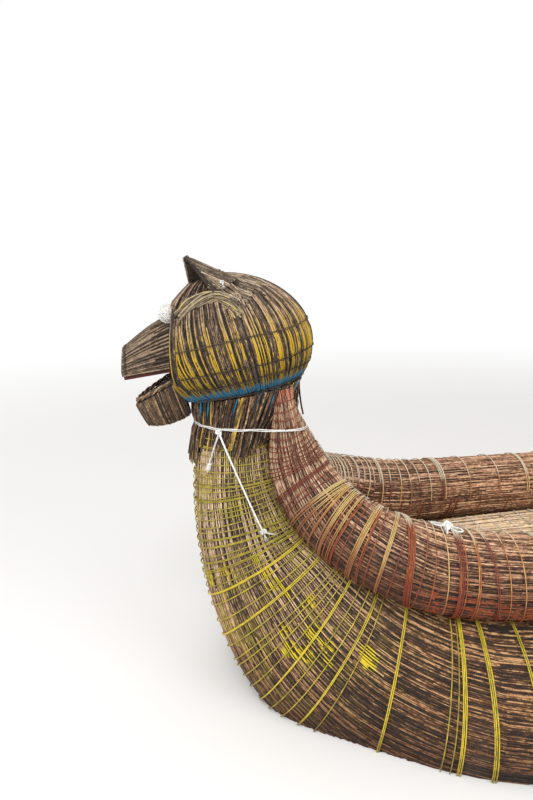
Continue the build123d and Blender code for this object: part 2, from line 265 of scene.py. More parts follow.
class ReedCoat:
    """A reed's colour, from its own tint and the streaks along it, and its bump.

    contrast is how far reeds differ from each other, bite how far each one differs along itself,
    patchy how far areas differ, and grain how fine the streaks are.
    """

    def __init__(self, name, *stops, contrast=0.75, bite=1.8, patchy=0.3, grain=24.0):
        graph = material_graph(name)
        self.graph = graph
        self.tint = graph.attribute("tint")
        self.mark = graph.attribute("mark")
        self.along = graph.attribute("along")
        lane = self.tint * 137.0
        self.streaks = graph.noise(graph.vector(self.along * grain, lane, 0.0), 1.0, 4.0, 0.7)
        self.fibres = graph.noise(graph.vector(self.along * 40.0, lane, 3.0), 1.0, 3.0, 0.6)
        spread = self.tint * contrast + self.streaks * bite + self.patches(3.0, 4.0) * patchy
        self.shade = spread - ((contrast + bite + patchy) * 0.5 - 0.5)
        self.colour = self.shade.ramp(*stops)

    def patches(self, scale, detail=3.0, rough=0.6):
        """A pattern that runs across the reeds."""
        return self.graph.noise(self.graph.place(), scale, detail, rough)

    def beyond(self, axis, edge, soft):
        """0 below an edge along one of the boat's axes and 1 above it, or the other way round."""
        return self.graph.axis(axis).step(edge, soft)

    def paint(self, mask, colour, blend="MIX"):
        """Lays paint over the reed where a mask says."""
        self.colour = self.graph.mix(mask, self.colour, colour, blend)

    def darken(self, mask, colour):
        self.paint(mask, colour, "MULTIPLY")

    def done(self, roughness=0.75):
        worn = self.streaks * 0.2 + (roughness - 0.1)
        return self.graph.finish(self.colour, worn, self.fibres, 0.6, 0.0015)


def plain_coat(name, *stops, roughness=0.75):
    """A coat with no paint on it."""
    return ReedCoat(name, *stops).done(roughness)


def band_height(graph):
    """How far a place stands above the band at the head's lower edge."""
    x, z = graph.axis("X"), graph.axis("Z")
    return (x - BAND_AFT.x) * BAND_UP.x + (z - BAND_AFT.z) * BAND_UP.z


def dabs(graph, spots, ragged):
    """A mask of paint dabs: (x, y, z, radius), broken up by a ragged pattern."""
    total = 0
    for x, y, z, radius in spots:
        away = graph.vector_math("DISTANCE", graph.place(), (x, y, z), output="Value")
        total = total + (away / radius).step(0.75, -0.3)
    return (total * ragged).step(0.45, 0.12)


# Hull reeds: grey tan on the neck, darker brown aft and near the water, where painted shade darkens
# them most
coat = ReedCoat(
    "hull_reed",
    (0.12, (0.013, 0.005, 0.002)), (0.40, (0.072, 0.032, 0.012)),
    (0.62, (0.190, 0.094, 0.036)), (0.86, (0.560, 0.360, 0.180)),
    bite=2.3, grain=19.0,
)
neck = coat.beyond("X", 3.30, 0.50) * coat.beyond("Z", 0.30, 0.45)
pale = coat.shade.ramp(
    (0.10, (0.070, 0.043, 0.024)), (0.38, (0.300, 0.205, 0.116)),
    (0.62, (0.530, 0.375, 0.225)), (0.92, (0.780, 0.600, 0.400)),
)
coat.paint(neck, pale)
coat.darken(coat.beyond("Z", 0.62, -0.35), (0.90, 0.77, 0.67))
# Painted shade: the hull reeds grow much darker towards the water
coat.darken(coat.beyond("Z", 0.20, -0.26), (0.27, 0.19, 0.16))
# Paint dabs: x, y, z and radius
YELLOW_DABS = [
    (3.599, 0.337, 0.721, 0.045), (3.555, 0.364, 0.676, 0.045), (3.596, 0.360, 0.649, 0.035),
    (3.855, 0.208, 0.646, 0.065), (3.786, 0.271, 0.708, 0.055), (3.411, 0.439, 0.609, 0.055),
    (3.505, 0.390, 0.645, 0.040), (3.647, 0.310, 0.779, 0.040), (3.525, 0.444, 0.475, 0.045),
    (3.504, 0.478, 0.396, 0.065), (3.429, 0.521, 0.391, 0.065), (3.402, 0.500, 0.488, 0.065),
    (3.345, 0.545, 0.440, 0.055), (3.352, 0.566, 0.367, 0.045), (3.176, 0.608, 0.440, 0.050),
    (3.164, 0.630, 0.402, 0.060),
]
ragged = coat.streaks * 0.6 + coat.tint * 0.5 + coat.patches(42.0, 3.0, 0.7) * 0.9 - 0.48
coat.paint(dabs(coat.graph, YELLOW_DABS, ragged), (0.640, 0.500, 0.012))
wash = (coat.patches(7.0) + coat.streaks * 0.4).step(0.76, 0.10) * neck
coat.paint(wash * 0.55, (0.420, 0.360, 0.040))
hull_reed = coat.done()

# Roll reeds: pinkish tan, with painted shade on their outer underside low down; red specks low on the
# port roll, red paint at the top
coat = ReedCoat(
    "roll_reed",
    (0.10, (0.040, 0.013, 0.006)), (0.38, (0.168, 0.069, 0.030)),
    (0.62, (0.373, 0.177, 0.085)), (0.90, (0.740, 0.440, 0.245)),
    contrast=0.70, bite=2.2, patchy=0.15, grain=30.0,
)
pink = coat.shade.ramp(
    (0.10, (0.075, 0.034, 0.019)), (0.38, (0.270, 0.144, 0.084)),
    (0.62, (0.460, 0.290, 0.180)), (0.90, (0.720, 0.520, 0.350)),
)
coat.paint(coat.beyond("Z", 0.95, 0.30), pink)
port = coat.beyond("Y", 0.0, 0.01)
# Painted shade on the rolls' outer underside, low down
outer = coat.mark.step(0.25, -0.55) * coat.mark.step(-2.3, 0.4)
coat.darken(outer * coat.beyond("Z", 1.05, -0.25), (0.30, 0.21, 0.15))
coat.darken(port * coat.beyond("X", 2.45, -0.35), (0.84, 0.77, 0.72))
coat.darken(coat.beyond("Z", 1.30, 0.15), (0.72, 0.66, 0.62))
specks = coat.graph.noise(coat.graph.vector(coat.along * 55.0, coat.tint * 90.0, 9.0), 1.0, 1.0)
low = port * coat.mark.step(0.20, -0.45) * coat.mark.step(-1.6, 0.3)
low = low * coat.beyond("X", 3.05, -0.15) * coat.beyond("X", 1.80, 0.45)
blots = (low * (coat.patches(45.0) * 0.5 + specks * 0.9 + coat.tint * 0.15)).step(0.855, 0.03)
coat.paint(blots * 0.85, (0.360, 0.052, 0.006))
coat.paint(coat.beyond("Z", 1.535, 0.035) * 0.45, (0.420, 0.070, 0.022))
roll_reed = coat.done()

# Head reeds: grey, with yellow stripes lower down and a blue edge
coat = ReedCoat(
    "head_reed",
    (0.12, (0.012, 0.007, 0.004)), (0.40, (0.078, 0.048, 0.028)),
    (0.64, (0.195, 0.128, 0.082)), (0.92, (0.460, 0.330, 0.230)),
)
rise = band_height(coat.graph)
grouped = coat.graph.noise(coat.graph.vector(coat.mark * 9.0, rise * 3.0, 0.0), 1.0, 2.0, 0.5)
broken = coat.streaks * 0.5 + coat.fibres * 0.6
stripes = (coat.tint * 0.6 + grouped * 0.45 + broken).step(1.15, 0.06) * rise.step(0.31, -0.14)
coat.paint(stripes, (0.500, 0.320, 0.012))
ragged = rise + coat.tint * 0.022 + coat.streaks * 0.02
coat.darken(rise.step(0.11, -0.07), (0.42, 0.42, 0.40))
coat.paint(ragged.step(0.060, -0.008) * 0.85, (0.012, 0.130, 0.235))
head_reed = coat.done()

coat = ReedCoat(
    "jaw_reed",
    (0.12, (0.016, 0.010, 0.006)), (0.40, (0.075, 0.049, 0.028)),
    (0.66, (0.190, 0.130, 0.078)), (0.92, (0.430, 0.320, 0.210)),
)
coat.darken(coat.beyond("Z", 1.60, -0.05), (0.88, 0.76, 0.66))
coat.darken(coat.beyond("Z", 1.60, 0.05), (0.68, 0.65, 0.64))
jaw_reed = coat.done()

brow_reed = plain_coat(
    "brow_reed",
    (0.12, (0.025, 0.017, 0.010)), (0.42, (0.140, 0.105, 0.065)),
    (0.68, (0.330, 0.265, 0.180)), (0.95, (0.500, 0.370, 0.110)),
)
ear_reed = plain_coat(
    "ear_reed",
    (0.12, (0.020, 0.013, 0.008)), (0.42, (0.110, 0.078, 0.048)),
    (0.70, (0.260, 0.195, 0.130)), (0.95, (0.520, 0.410, 0.290)),
)

# Skirt reeds: dark, a few of them yellow or blue
coat = ReedCoat(
    "skirt_reed",
    (0.14, (0.010, 0.005, 0.003)), (0.46, (0.051, 0.027, 0.013)),
    (0.72, (0.160, 0.088, 0.045)), (0.95, (0.490, 0.310, 0.170)),
)
coat.paint(coat.tint.step(0.955, 0.004), (0.560, 0.360, 0.035))
blue = coat.tint.step(0.07, -0.01) * band_height(coat.graph).step(-0.07, 0.03)
coat.paint(blue, (0.020, 0.190, 0.310))
skirt_reed = coat.done()

deck_reed = plain_coat(
    "deck_reed",
    (0.10, (0.160, 0.095, 0.050)), (0.45, (0.470, 0.320, 0.190)), (0.90, (0.860, 0.660, 0.440)),
)
stern_reed = plain_coat(
    "stern_reed",
    (0.10, (0.060, 0.038, 0.022)), (0.45, (0.270, 0.190, 0.115)), (0.90, (0.620, 0.490, 0.330)),
)

coat = ReedCoat(
    "hull_cord",
    (0.10, (0.120, 0.095, 0.014)), (0.50, (0.320, 0.255, 0.030)), (0.90, (0.620, 0.480, 0.026)),
)
# Painted shade: the hull cords darken towards the water
coat.darken(coat.beyond("Z", 0.06, -0.12), (0.45, 0.42, 0.40))
hull_cord = coat.done(0.6)

# Roll cords: red brown, orange or tan by their tint, worn pale on the crest and dark red below
coat = ReedCoat(
    "roll_cord",
    (0.12, (0.150, 0.028, 0.012)), (0.38, (0.330, 0.085, 0.024)),
    (0.62, (0.480, 0.255, 0.060)), (0.90, (0.540, 0.400, 0.160)),
    contrast=1.3, bite=1.3, patchy=0.4, grain=19.0,
)
worn = coat.mark.step(1.05, 0.55) * coat.mark.step(2.6, -0.3) * (coat.streaks + 0.25)
coat.paint(worn.step(0.55, 0.20) * 0.85, (0.640, 0.570, 0.430))
coat.paint(coat.mark.step(-0.10, -0.45) * 0.75, (0.190, 0.030, 0.012))
roll_cord = coat.done(0.6)

dark_cord = plain_coat(
    "dark_cord", (0.2, (0.014, 0.009, 0.006)), (0.9, (0.100, 0.066, 0.040)), roughness=0.7
)
rope = plain_coat(
    "rope", (0.2, (0.420, 0.420, 0.410)), (0.8, (0.780, 0.775, 0.750)), roughness=0.8
)
eye_yarn = plain_coat(
    "eye_yarn", (0.2, (0.620, 0.610, 0.580)), (0.8, (0.860, 0.855, 0.830)), roughness=0.85
)


def ground_reed(name, dark, light):
    """The reed mass under the reeds laid on it, streaked along the boat; where dark, it is painted
    shade between them.
    """
    graph = material_graph(name)
    stretched = graph.vector_math("MULTIPLY", graph.place(), (1.0, 30.0, 30.0))
    streaks = graph.noise(stretched, 2.5, 4.0, 0.65)
    colour = streaks.ramp((0.30, dark), (0.70, light))
    return graph.finish(colour, 0.85, streaks, 0.8, 0.006)


# Dark under-mass: painted shade that shows in the gaps between the reeds and cords laid on it
gap_shade_reed = ground_reed("gap_shade_reed", (0.008, 0.005, 0.003), (0.055, 0.034, 0.020))
under_straw = ground_reed("under_straw", (0.110, 0.080, 0.045), (0.380, 0.290, 0.170))
palate_reed = ground_reed("palate_reed", (0.030, 0.006, 0.004), (0.130, 0.022, 0.012))

NODE_COATS = {
    "deck_mat": under_straw,
    "deck_bedding": under_straw,
    "palate": palate_reed,
    "eye_port": eye_yarn,
    "eye_starboard": eye_yarn,
}
# The other solids get the dark under-mass, painted shade between the strands laid on them
for node_name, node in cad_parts.items():
    for index in range(len(node.data.materials)):
        node.data.materials[index] = NODE_COATS.get(node_name, gap_shade_reed)


# Strands: reeds and cords, each a path with a thickness and a tint
class Strand:
    """One reed or cord: its points, its radius at both ends, its tint and a mark.

    The mark is one number, or one for each point.
    """

    def __init__(self, points, radius, tip=None, tint=None, mark=0.0):
        self.points = points
        self.radius = radius
        self.tip = radius if tip is None else tip
        self.tint = rng.random() if tint is None else tint
        self.mark = mark

    def mark_at(self, index):
        return self.mark[index] if isinstance(self.mark, list) else self.mark

    def mirrored(self):
        """Its starboard twin, with a tint of its own."""
        points = [Vector((p.x, -p.y, p.z)) for p in self.points]
        return Strand(points, self.radius, self.tip, (self.tint * 7.31) % 1.0, self.mark)


def tube_group(sides):
    """Geometry nodes that turn paths into tubes of their own radius."""
    group = bpy.data.node_groups.new(f"tubes_{sides}", "GeometryNodeTree")
    group.interface.new_socket("Geometry", in_out="INPUT", socket_type="NodeSocketGeometry")
    group.interface.new_socket("Geometry", in_out="OUTPUT", socket_type="NodeSocketGeometry")
    nodes = group.nodes
    link = group.links.new
    curve = nodes.new("GeometryNodeMeshToCurve")
    thickness = nodes.new("GeometryNodeInputNamedAttribute")
    thickness.data_type = "FLOAT"
    thickness.inputs["Name"].default_value = "thickness"
    profile = nodes.new("GeometryNodeCurvePrimitiveCircle")
    profile.inputs["Resolution"].default_value = sides
    profile.inputs["Radius"].default_value = 1.0
    tube = nodes.new("GeometryNodeCurveToMesh")
    tube.inputs["Fill Caps"].default_value = True
    smooth = nodes.new("GeometryNodeSetShadeSmooth")
    link(nodes.new("NodeGroupInput").outputs[0], curve.inputs["Mesh"])
    link(curve.outputs[0], tube.inputs["Curve"])
    link(profile.outputs[0], tube.inputs["Profile Curve"])
    link(thickness.outputs[0], tube.inputs["Scale"])
    link(tube.outputs[0], smooth.inputs["Geometry"])
    link(smooth.outputs[0], nodes.new("NodeGroupOutput").inputs[0])
    return group


TUBES = {}


def strand_piece(name, strands, material, sides=4, replaces=()):
    """Joins strands into one piece of tubes."""
    points = []
    edges = []
    values = {"thickness": [], "tint": [], "along": [], "mark": []}
    for strand in strands:
        first = len(points)
        count = len(strand.points)
        walked = rng.random() * 3
        for index, point in enumerate(strand.points):
            if index:
                edges.append((first + index - 1, first + index))
                walked += (point - strand.points[index - 1]).length
            share = index / (count - 1)
            points.append(point)
            values["thickness"].append(strand.radius + (strand.tip - strand.radius) * share)
            values["tint"].append(strand.tint)
            values["along"].append(walked)
            values["mark"].append(strand.mark_at(index))
    mesh = bpy.data.meshes.new(name + "_paths")
    mesh.from_pydata(points, edges, [])
    for key, numbers in values.items():
        mesh.attributes.new(key, "FLOAT", "POINT").data.foreach_set("value", numbers)
    source = bpy.data.objects.new(name + "_source", mesh)
    collection.objects.link(source)
    if sides not in TUBES:
        TUBES[sides] = tube_group(sides)
    source.modifiers.new("tubes", "NODES").node_group = TUBES[sides]
    bpy.context.view_layer.update()
    graph = bpy.context.evaluated_depsgraph_get()
    built = bpy.data.meshes.new_from_object(
        source.evaluated_get(graph), preserve_all_data_layers=True, depsgraph=graph
    )
    bpy.data.objects.remove(source)
    built.name = name
    piece = bpy.data.objects.new(name, built)
    collection.objects.link(piece)
    built.materials.clear()
    built.materials.append(material)
    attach(piece, "root")
    if replaces:
        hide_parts(*replaces)
    return piece


def both_sides(name, strands, material, sides=4, replaces=None):
    """A port piece and its starboard twin."""
    for side, made in (("port", strands), ("starboard", [s.mirrored() for s in strands])):
        nodes = (f"{replaces}_{side}",) if replaces else ()
        strand_piece(f"{name}_{side}", made, material, sides, nodes)


class Skin:
    """The surface of a CAD node, which reeds and cords are laid on."""

    def __init__(self, node):
        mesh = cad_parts[node].data
        corners = [v.co for v in mesh.vertices]
        self.tree = BVHTree.FromPolygons(corners, [tuple(p.vertices) for p in mesh.polygons])

    def lay(self, point, proud):
        """The nearest place on the skin, standing proud of it."""
        place, normal, _, _ = self.tree.find_nearest(point)
        return place + normal * proud

    def hit(self, start, way, proud):
        """Where a ray meets the skin, standing proud of it on the side that the ray goes to."""
        place, normal, _, _ = self.tree.ray_cast(start, way)
        if place is None:
            return None
        return place + (normal if normal.dot(way) > 0 else -normal) * proud


def curve_between(a, b, c, d, t):
    """A value a share t of the way from b to c, on a smooth curve that passes a and d too."""
    return 0.5 * (2 * b + (c - a) * t + (2 * a - 5 * b + 4 * c - d) * t * t
                  + (3 * b - a - 3 * c + d) * t**3)


def smooth_path(points, step):
    """A smooth path through points, cut into about even steps."""
    corners = [Vector(p) for p in points]
    path = []
    for index in range(len(corners) - 1):
        near = [corners[min(max(index + k, 0), len(corners) - 1)] for k in (-1, 0, 1, 2)]
        count = max(1, round((near[2] - near[1]).length / step))
        path += [curve_between(*near, k / count) for k in range(count)]
    path.append(corners[-1])
    return path


def path_frames(path, hint):
    """Two directions across a path at each of its points."""
    frames = []
    for index in range(len(path)):
        way = path[min(index + 1, len(path) - 1)] - path[max(index - 1, 0)]
        side = way.cross(hint).normalized()
        frames.append((side, side.cross(way).normalized()))
    return frames


def bundle_round(path, radius, count, size, twist=0.0, hint=PORT, loose=0.0, cut=0.0):
    """Strands that lie side by side round a path, at a radius from it."""
    frames = path_frames(path, hint)
    strands = []
    for index in range(count):
        start = 2 * pi * (index + rng.uniform(-0.2, 0.2)) / count
        first = int(rng.random() * cut * len(path))
        last = len(path) - int(rng.random() * cut * len(path))
        points = []
        for k in range(first, last):
            turn = start + twist * k / len(path)
            out = radius * (1 + loose * noise.noise(Vector((k * 0.35, index * 3.7, 0))))
            side, up = frames[k]
            points.append(path[k] + side * (cos(turn) * out) + up * (sin(turn) * out))
        made = size * rng.uniform(0.85, 1.2)
        strands.append(Strand(points, made, made * 0.8))
    return strands


# Knots
def tight_knot(centre, axis, reach, size, flat=1.0):
    """A cord tied in a tight knot: how far it reaches, and the cord's own radius."""
    first = axis.orthogonal().normalized()
    second = axis.cross(first)
    share = (reach - size) / 3
    points = []
    for k in range(49):
        t = 2 * pi * k / 48
        across = first * (sin(t) + 2 * sin(2 * t)) + second * (cos(t) - 2 * cos(2 * t))
        points.append(centre + across * share - axis * (sin(3 * t) * share * 1.4 * flat))
    return Strand(points, size, tint=rng.uniform(0.4, 0.8))


def frayed_end(start, way, count, length, spread, size):
    """Loose fibres below a knot."""
    strands = []
    for _ in range(count):
        aside = Vector([rng.gauss(0, 1) for _ in range(3)]) * spread
        run = length * rng.uniform(0.5, 1.0)
        points = [start + way * (run * k / 4) + aside * (k / 4) ** 1.5 for k in range(5)]
        strands.append(Strand(points, size, size * 0.5))
    return strands


# Places on the hull
def blend_rows(place):
    """The section's numbers at a place between rows, on a smooth curve through them."""
    index = min(max(int(place), 0), LAST_SECTION - 1)
    rows = [SECTIONS[min(max(index + k, 0), LAST_SECTION)] for k in (-1, 0, 1, 2)]
    values = [curve_between(*numbers, place - index) for numbers in zip(*rows)]
    return dict(zip(SECTION_COLUMNS, values))


def inward_way(row):
    """The way inward from a section's outer edge."""
    lean = radians(row["lean"])
    return Vector((-sin(lean), 0, cos(lean)))


def in_section(row, y, inward):
    """A point of a section, from its distances to port and inward of the outer edge."""
    lean = radians(row["lean"])
    return Vector((row["edge_x"] - inward * sin(lean), y, row["edge_z"] + inward * cos(lean)))


def hull_point(place, turn):
    """A point of the port bundle; turn is 0 at its side and positive towards the inside."""
    row = blend_rows(place)
    across = BUNDLE_SHARE * row["reach"]
    along = row["depth"] / 2
    y = row["reach"] - across + across * cos(turn)
    return in_section(row, max(y, 0.0), along + along * sin(turn))


def seated_middle(row):
    """Where the roll's seat puts its middle: distances to port and inward of the outer edge."""
    across = BUNDLE_SHARE * row["reach"]
    along = row["depth"] / 2
    seat = radians(row["seat"])
    normal = Vector((sin(seat) / across, cos(seat) / along)).normalized()
    away = row["roll_radius"] + 0.001
    y = row["reach"] - across + across * sin(seat) + normal.x * away
    return y, along + along * cos(seat) + normal.y * away


ROLL_MIDDLES = {}


def roll_middle(place):
    """The port roll's middle, halfway between its skin's two sides."""
    key = round(place, 3)
    if key not in ROLL_MIDDLES:
        row = blend_rows(place)
        spot = in_section(row, *seated_middle(row))
        ends = [roll_skin.hit(spot, way, 0.0) for way in (PORT, -PORT)]
        if None not in ends:
            spot.y = (ends[0].y + ends[1].y) / 2
        ROLL_MIDDLES[key] = spot
    return ROLL_MIDDLES[key]


def roll_point(place, turn):
    """A point of the port roll; turn is 0 outboard and positive towards the inside."""
    row = blend_rows(place)
    spot = PORT * cos(turn) + inward_way(row) * sin(turn)
    return roll_middle(place) + spot * row["roll_radius"]


def hull_middle(place):
    """The port bundle's middle."""
    row = blend_rows(place)
    return in_section(row, row["reach"] * (1 - BUNDLE_SHARE), row["depth"] / 2)


class Ring:
    """A ring square to a bundle's middle line, which a tight cord lies in."""

    def __init__(self, skin, middle, place, flat=1.0):
        ahead = middle(min(place + 0.05, LAST_SECTION))
        behind = middle(max(place - 0.05, 0))
        inward = inward_way(blend_rows(place))
        self.skin = skin
        self.centre = middle(place)
        self.way = (ahead - behind).normalized()
        self.out = inward.cross(self.way).normalized()
        if self.out.y < 0:
            self.out.negate()
        self.top = self.out.cross(self.way)
        if self.top.dot(inward) < 0:
            self.top.negate()
        self.flat = flat

    def spot(self, turn, proud, shift=0.0):
        """A place on the skin at a turn, shifted along the bundle."""
        across = self.out * (cos(turn) * self.flat) + self.top * sin(turn)
        return self.skin.hit(self.centre + self.way * shift, across.normalized(), proud)


def hull_ring(place):
    row = blend_rows(place)
    return Ring(hull_skin, hull_middle, place, 2 * BUNDLE_SHARE * row["reach"] / row["depth"])


def roll_ring(place):
    return Ring(roll_skin, roll_middle, place)


def ring_cord(ring, turns, steps, size, proud, shift=0.0, slant=0.0, tint=None):
    """A cord in a ring: slant is how far it drifts along the bundle in a whole turn."""
    points = []
    marks = []
    closed = turns == ROUND
    for k in range(steps + 1):
        turn = turns[0] + (turns[1] - turns[0]) * k / steps
        drift = slant * (turn - 0.3) / (2 * pi)
        tucked = 0.0 if closed else max(0.0, abs(2 * k / steps - 1) - 0.9) * 0.08
        spot = ring.spot(turn, proud - tucked, shift + drift)
        if spot is not None:
            points.append(spot)
            marks.append(turn)
    return Strand(points, size, size, tint, marks)


def cord_band(ring, turns, steps, cords, size, proud, slant=0.0, tint=0.5):
    """Cords side by side in a ring, each a little out of line."""
    strands = []
    for k in range(cords):
        shift = (k - (cords - 1) / 2) * size * 2.3 + rng.uniform(-0.3, 0.3) * size
        lift = proud + rng.uniform(0.0, 0.5) * size
        leaning = slant + rng.uniform(-0.012, 0.012)
        shade = tint + rng.uniform(-0.08, 0.08)
        strands.append(ring_cord(ring, turns, steps, size, lift, shift, leaning, shade))
    return strands


def even_places(point_at, zones):
    """Places along the hull, in zones of (first place, last place, step)."""
    found = []
    for first, last, step in zones:
        samples = int((last - first) * 40)
        places = [first + (last - first) * k / samples for k in range(samples + 1)]
        line = [point_at(p, 0.0) for p in places]
        if not found:
            found.append(first)
        walked = 0.0
        for before, after, place in zip(line, line[1:], places[1:]):
            walked += (after - before).length
            if walked >= step:
                found.append(place)
                walked = 0.0
    return found


def spread_order(index):
    """A number from 0 to 1 that spreads successive picks evenly."""
    value = 0.0
    share = 0.5
    while index:
        value += share * (index & 1)
        index >>= 1
        share /= 2
    return value


def laid_reeds(bundle, zones, count, turns, size, length, waver=0.3):
    """Reeds along a bundle, in overlapping lengths, fewer where it tapers."""
    skin, point_at, girth_at = bundle
    places = even_places(point_at, zones)
    girths = [girth_at(place) for place in places]
    shares = [girth / max(girths) for girth in girths]
    gap = (turns[1] - turns[0]) / count
    strands = []
    for index in range(count):
        rank = spread_order(index)
        active = [k for k, share in enumerate(shares) if rank < share]
        if len(active) < 4:
            continue
        here = max(active[0] - rng.randrange(3), 0)
        stop = min(active[-1] + rng.randrange(3), len(places) - 1)
        turn = turns[0] + gap * (index + 0.5)
        while here < stop - 1:
            wanted = length * rng.uniform(0.5, 1.5)
            there = here
            walked = 0.0
            while there < stop and walked < wanted:
                step = point_at(places[there + 1], turn) - point_at(places[there], turn)
                walked += step.length
                there += 1
            if stop - there < 3:
                there = stop
            drift = rng.uniform(-0.4, 0.4)
            proud = rng.uniform(0.2, 1.1) * size
            lift = rng.choice((0, 0, 0, 0, 0.5, 1.0)) * size
            phase = rng.random() * 100
            points = []
            for k in range(here, there + 1):
                wave = drift + noise.noise(Vector((k * waver, phase, 0))) * 0.9
                rise = proud + lift * (k == there)
                points.append(skin.lay(point_at(places[k], turn + gap * wave), rise))
            made = size * rng.uniform(0.8, 1.25)
            strands.append(Strand(points, made, made * 0.7, mark=turn))
            here = there if there == stop else there - 1
    return strands


def hull_girth(place):
    row = blend_rows(place)
    return row["reach"] * BUNDLE_SHARE + row["depth"] / 2


def roll_girth(place):
    return blend_rows(place)["roll_radius"]


hull_skin = Skin("hull_bundle_port")
roll_skin = Skin("gunwale_roll_port")
skull_skin = Skin("head_skull")

HULL = (hull_skin, hull_point, hull_girth)
ROLL = (roll_skin, roll_point, roll_girth)
ROUND = (-pi, pi)
ALL_ROUND = (-SEAM_TURN, SEAM_TURN)
BARE_OF_ROLL = (-SEAM_TURN, radians(85))
GOLDEN_TURN = 2.39996

# Hull bundle reeds: fine at the bow, coarser aft; none where the mat and the rolls cover them
# Piece, zones of (first place, last place, step), count round, turns, radius, length
HULL_REEDS = [
    ("bow_reeds", [(12.2, 14.0, 0.12), (14.0, LAST_SECTION, 0.075)], 330, ALL_ROUND, 0.0041, 0.42),
    ("midbody_reeds", [(4.6, 12.4, 0.18)], 230, BARE_OF_ROLL, 0.0050, 0.55),
    ("stern_sweep_reeds", [(0, 4.8, 0.10)], 260, ALL_ROUND, 0.0054, 0.55),
]
for name, zones, count, turns, size, length in HULL_REEDS:
    port_reeds = laid_reeds(HULL, zones, count, turns, size, length)
    both_sides(name, port_reeds, hull_reed)

# Gunwale roll reeds
ROLL_ZONES = [(0, 5.0, 0.12), (5.0, 12.0, 0.22), (12.0, LAST_SECTION, 0.085)]
port_reeds = laid_reeds(ROLL, ROLL_ZONES, 150, ROUND, 0.0043, 0.34, 0.8)
both_sides("roll_reeds", port_reeds, roll_reed)


def roll_end_reeds(count, size, length):
    """Short cut reeds that stand on the roll's blunt stern end."""
    inward = inward_way(blend_rows(0))
    way = inward.cross(PORT)
    strands = []
    for index in range(count):
        radius = 0.047 * sqrt((index + 0.5) / count)
        turn = index * GOLDEN_TURN
        foot = roll_middle(0) + PORT * (radius * cos(turn)) + inward * (radius * sin(turn))
        run = length * rng.uniform(0.5, 1.0)
        points = [foot + way * (run * k / 2 - 0.004) for k in range(3)]
        strands.append(Strand(points, size * rng.uniform(0.85, 1.15)))
    return strands


both_sides("roll_end_reeds", roll_end_reeds(90, 0.0048, 0.030), stern_reed)


def spaced(first, last, step):
    """Places from one to another, a step apart."""
    count = round((last - first) / step)
    return [first + (last - first) * k / count for k in range(count + 1)]


# Cords round the hull bundles: close on the neck, wider apart and in groups further aft
NECK_CORDS = spaced(18.95, 19.57, 0.105) + spaced(19.72, 20.3, 0.145) + spaced(17.7, 18.85, 0.12)
# Place, cords side by side, slant in metres for a whole turn, tint
HULL_CORDS = [
    (17.62, 2, 0.05, 0.9), (17.47, 1, 0.08, 0.6), (17.22, 1, 0.15, 0.6), (17.02, 2, 0.25, 0.9),
    (16.80, 1, 0.30, 0.5), (16.60, 1, 0.35, 0.5), (16.50, 1, 0.35, 0.6), (16.35, 1, 0.35, 0.5),
    (16.20, 1, 0.35, 0.6), (16.02, 2, 0.35, 0.9), (15.83, 1, 0.35, 0.5), (15.67, 1, 0.35, 0.6),
    (15.49, 2, 0.35, 0.8), (15.31, 1, 0.30, 0.5), (14.60, 2, 0.05, 0.9), (14.04, 1, 0.00, 0.5),
    (13.97, 1, 0.04, 0.4), (13.59, 3, 0.05, 0.8), (13.19, 2, 0.05, 0.7), (12.86, 1, 0.04, 0.6),
    (12.50, 2, 0.04, 0.6), (11.60, 2, 0.04, 0.6), (11.20, 1, 0.04, 0.5), (10.60, 3, 0.04, 0.7),
    (9.50, 2, 0.04, 0.6), (8.60, 2, 0.04, 0.7), (7.50, 3, 0.04, 0.6), (6.60, 2, 0.04, 0.6),
    (5.40, 3, 0.04, 0.8), (4.80, 2, 0.05, 0.6), (4.40, 1, 0.05, 0.6), (4.00, 3, 0.05, 0.8),
    (3.65, 1, 0.05, 0.5), (3.35, 1, 0.05, 0.6), (3.05, 3, 0.05, 0.8), (2.75, 1, 0.05, 0.5),
    (2.45, 1, 0.05, 0.6), (2.15, 1, 0.05, 0.5), (1.85, 2, 0.05, 0.7), (1.60, 1, 0.05, 0.6),
]


def hull_band(place, cords, size, slant, tint):
    """Cords round a hull bundle, from the seam with the other one and back to it."""
    return cord_band(hull_ring(place), ALL_ROUND, 48, cords, size, 0.0150, slant, tint)


def roll_band(place, cords, size, slant, tint):
    """Cords all the way round a roll."""
    return cord_band(roll_ring(place), ROUND, 28, cords, size, 0.0135, slant, tint)


HULL_CORD_SIZE, ROLL_CORD_SIZE = 0.0031, 0.0029
NECK_CORD_SIZE = HULL_CORD_SIZE * 0.85
hull_cords = []
for place in NECK_CORDS:
    ring = hull_ring(place + rng.uniform(-0.02, 0.02))
    slant = rng.uniform(-0.02, 0.05)
    cords = rng.choice((1, 1, 1, 2))
    hull_cords += cord_band(ring, ALL_ROUND, 44, cords, NECK_CORD_SIZE, 0.0145, slant, 0.45)
for place, cords, slant, tint in HULL_CORDS:
    hull_cords += hull_band(place, cords, HULL_CORD_SIZE, slant, tint)
both_sides("hull_cords", hull_cords, hull_cord)

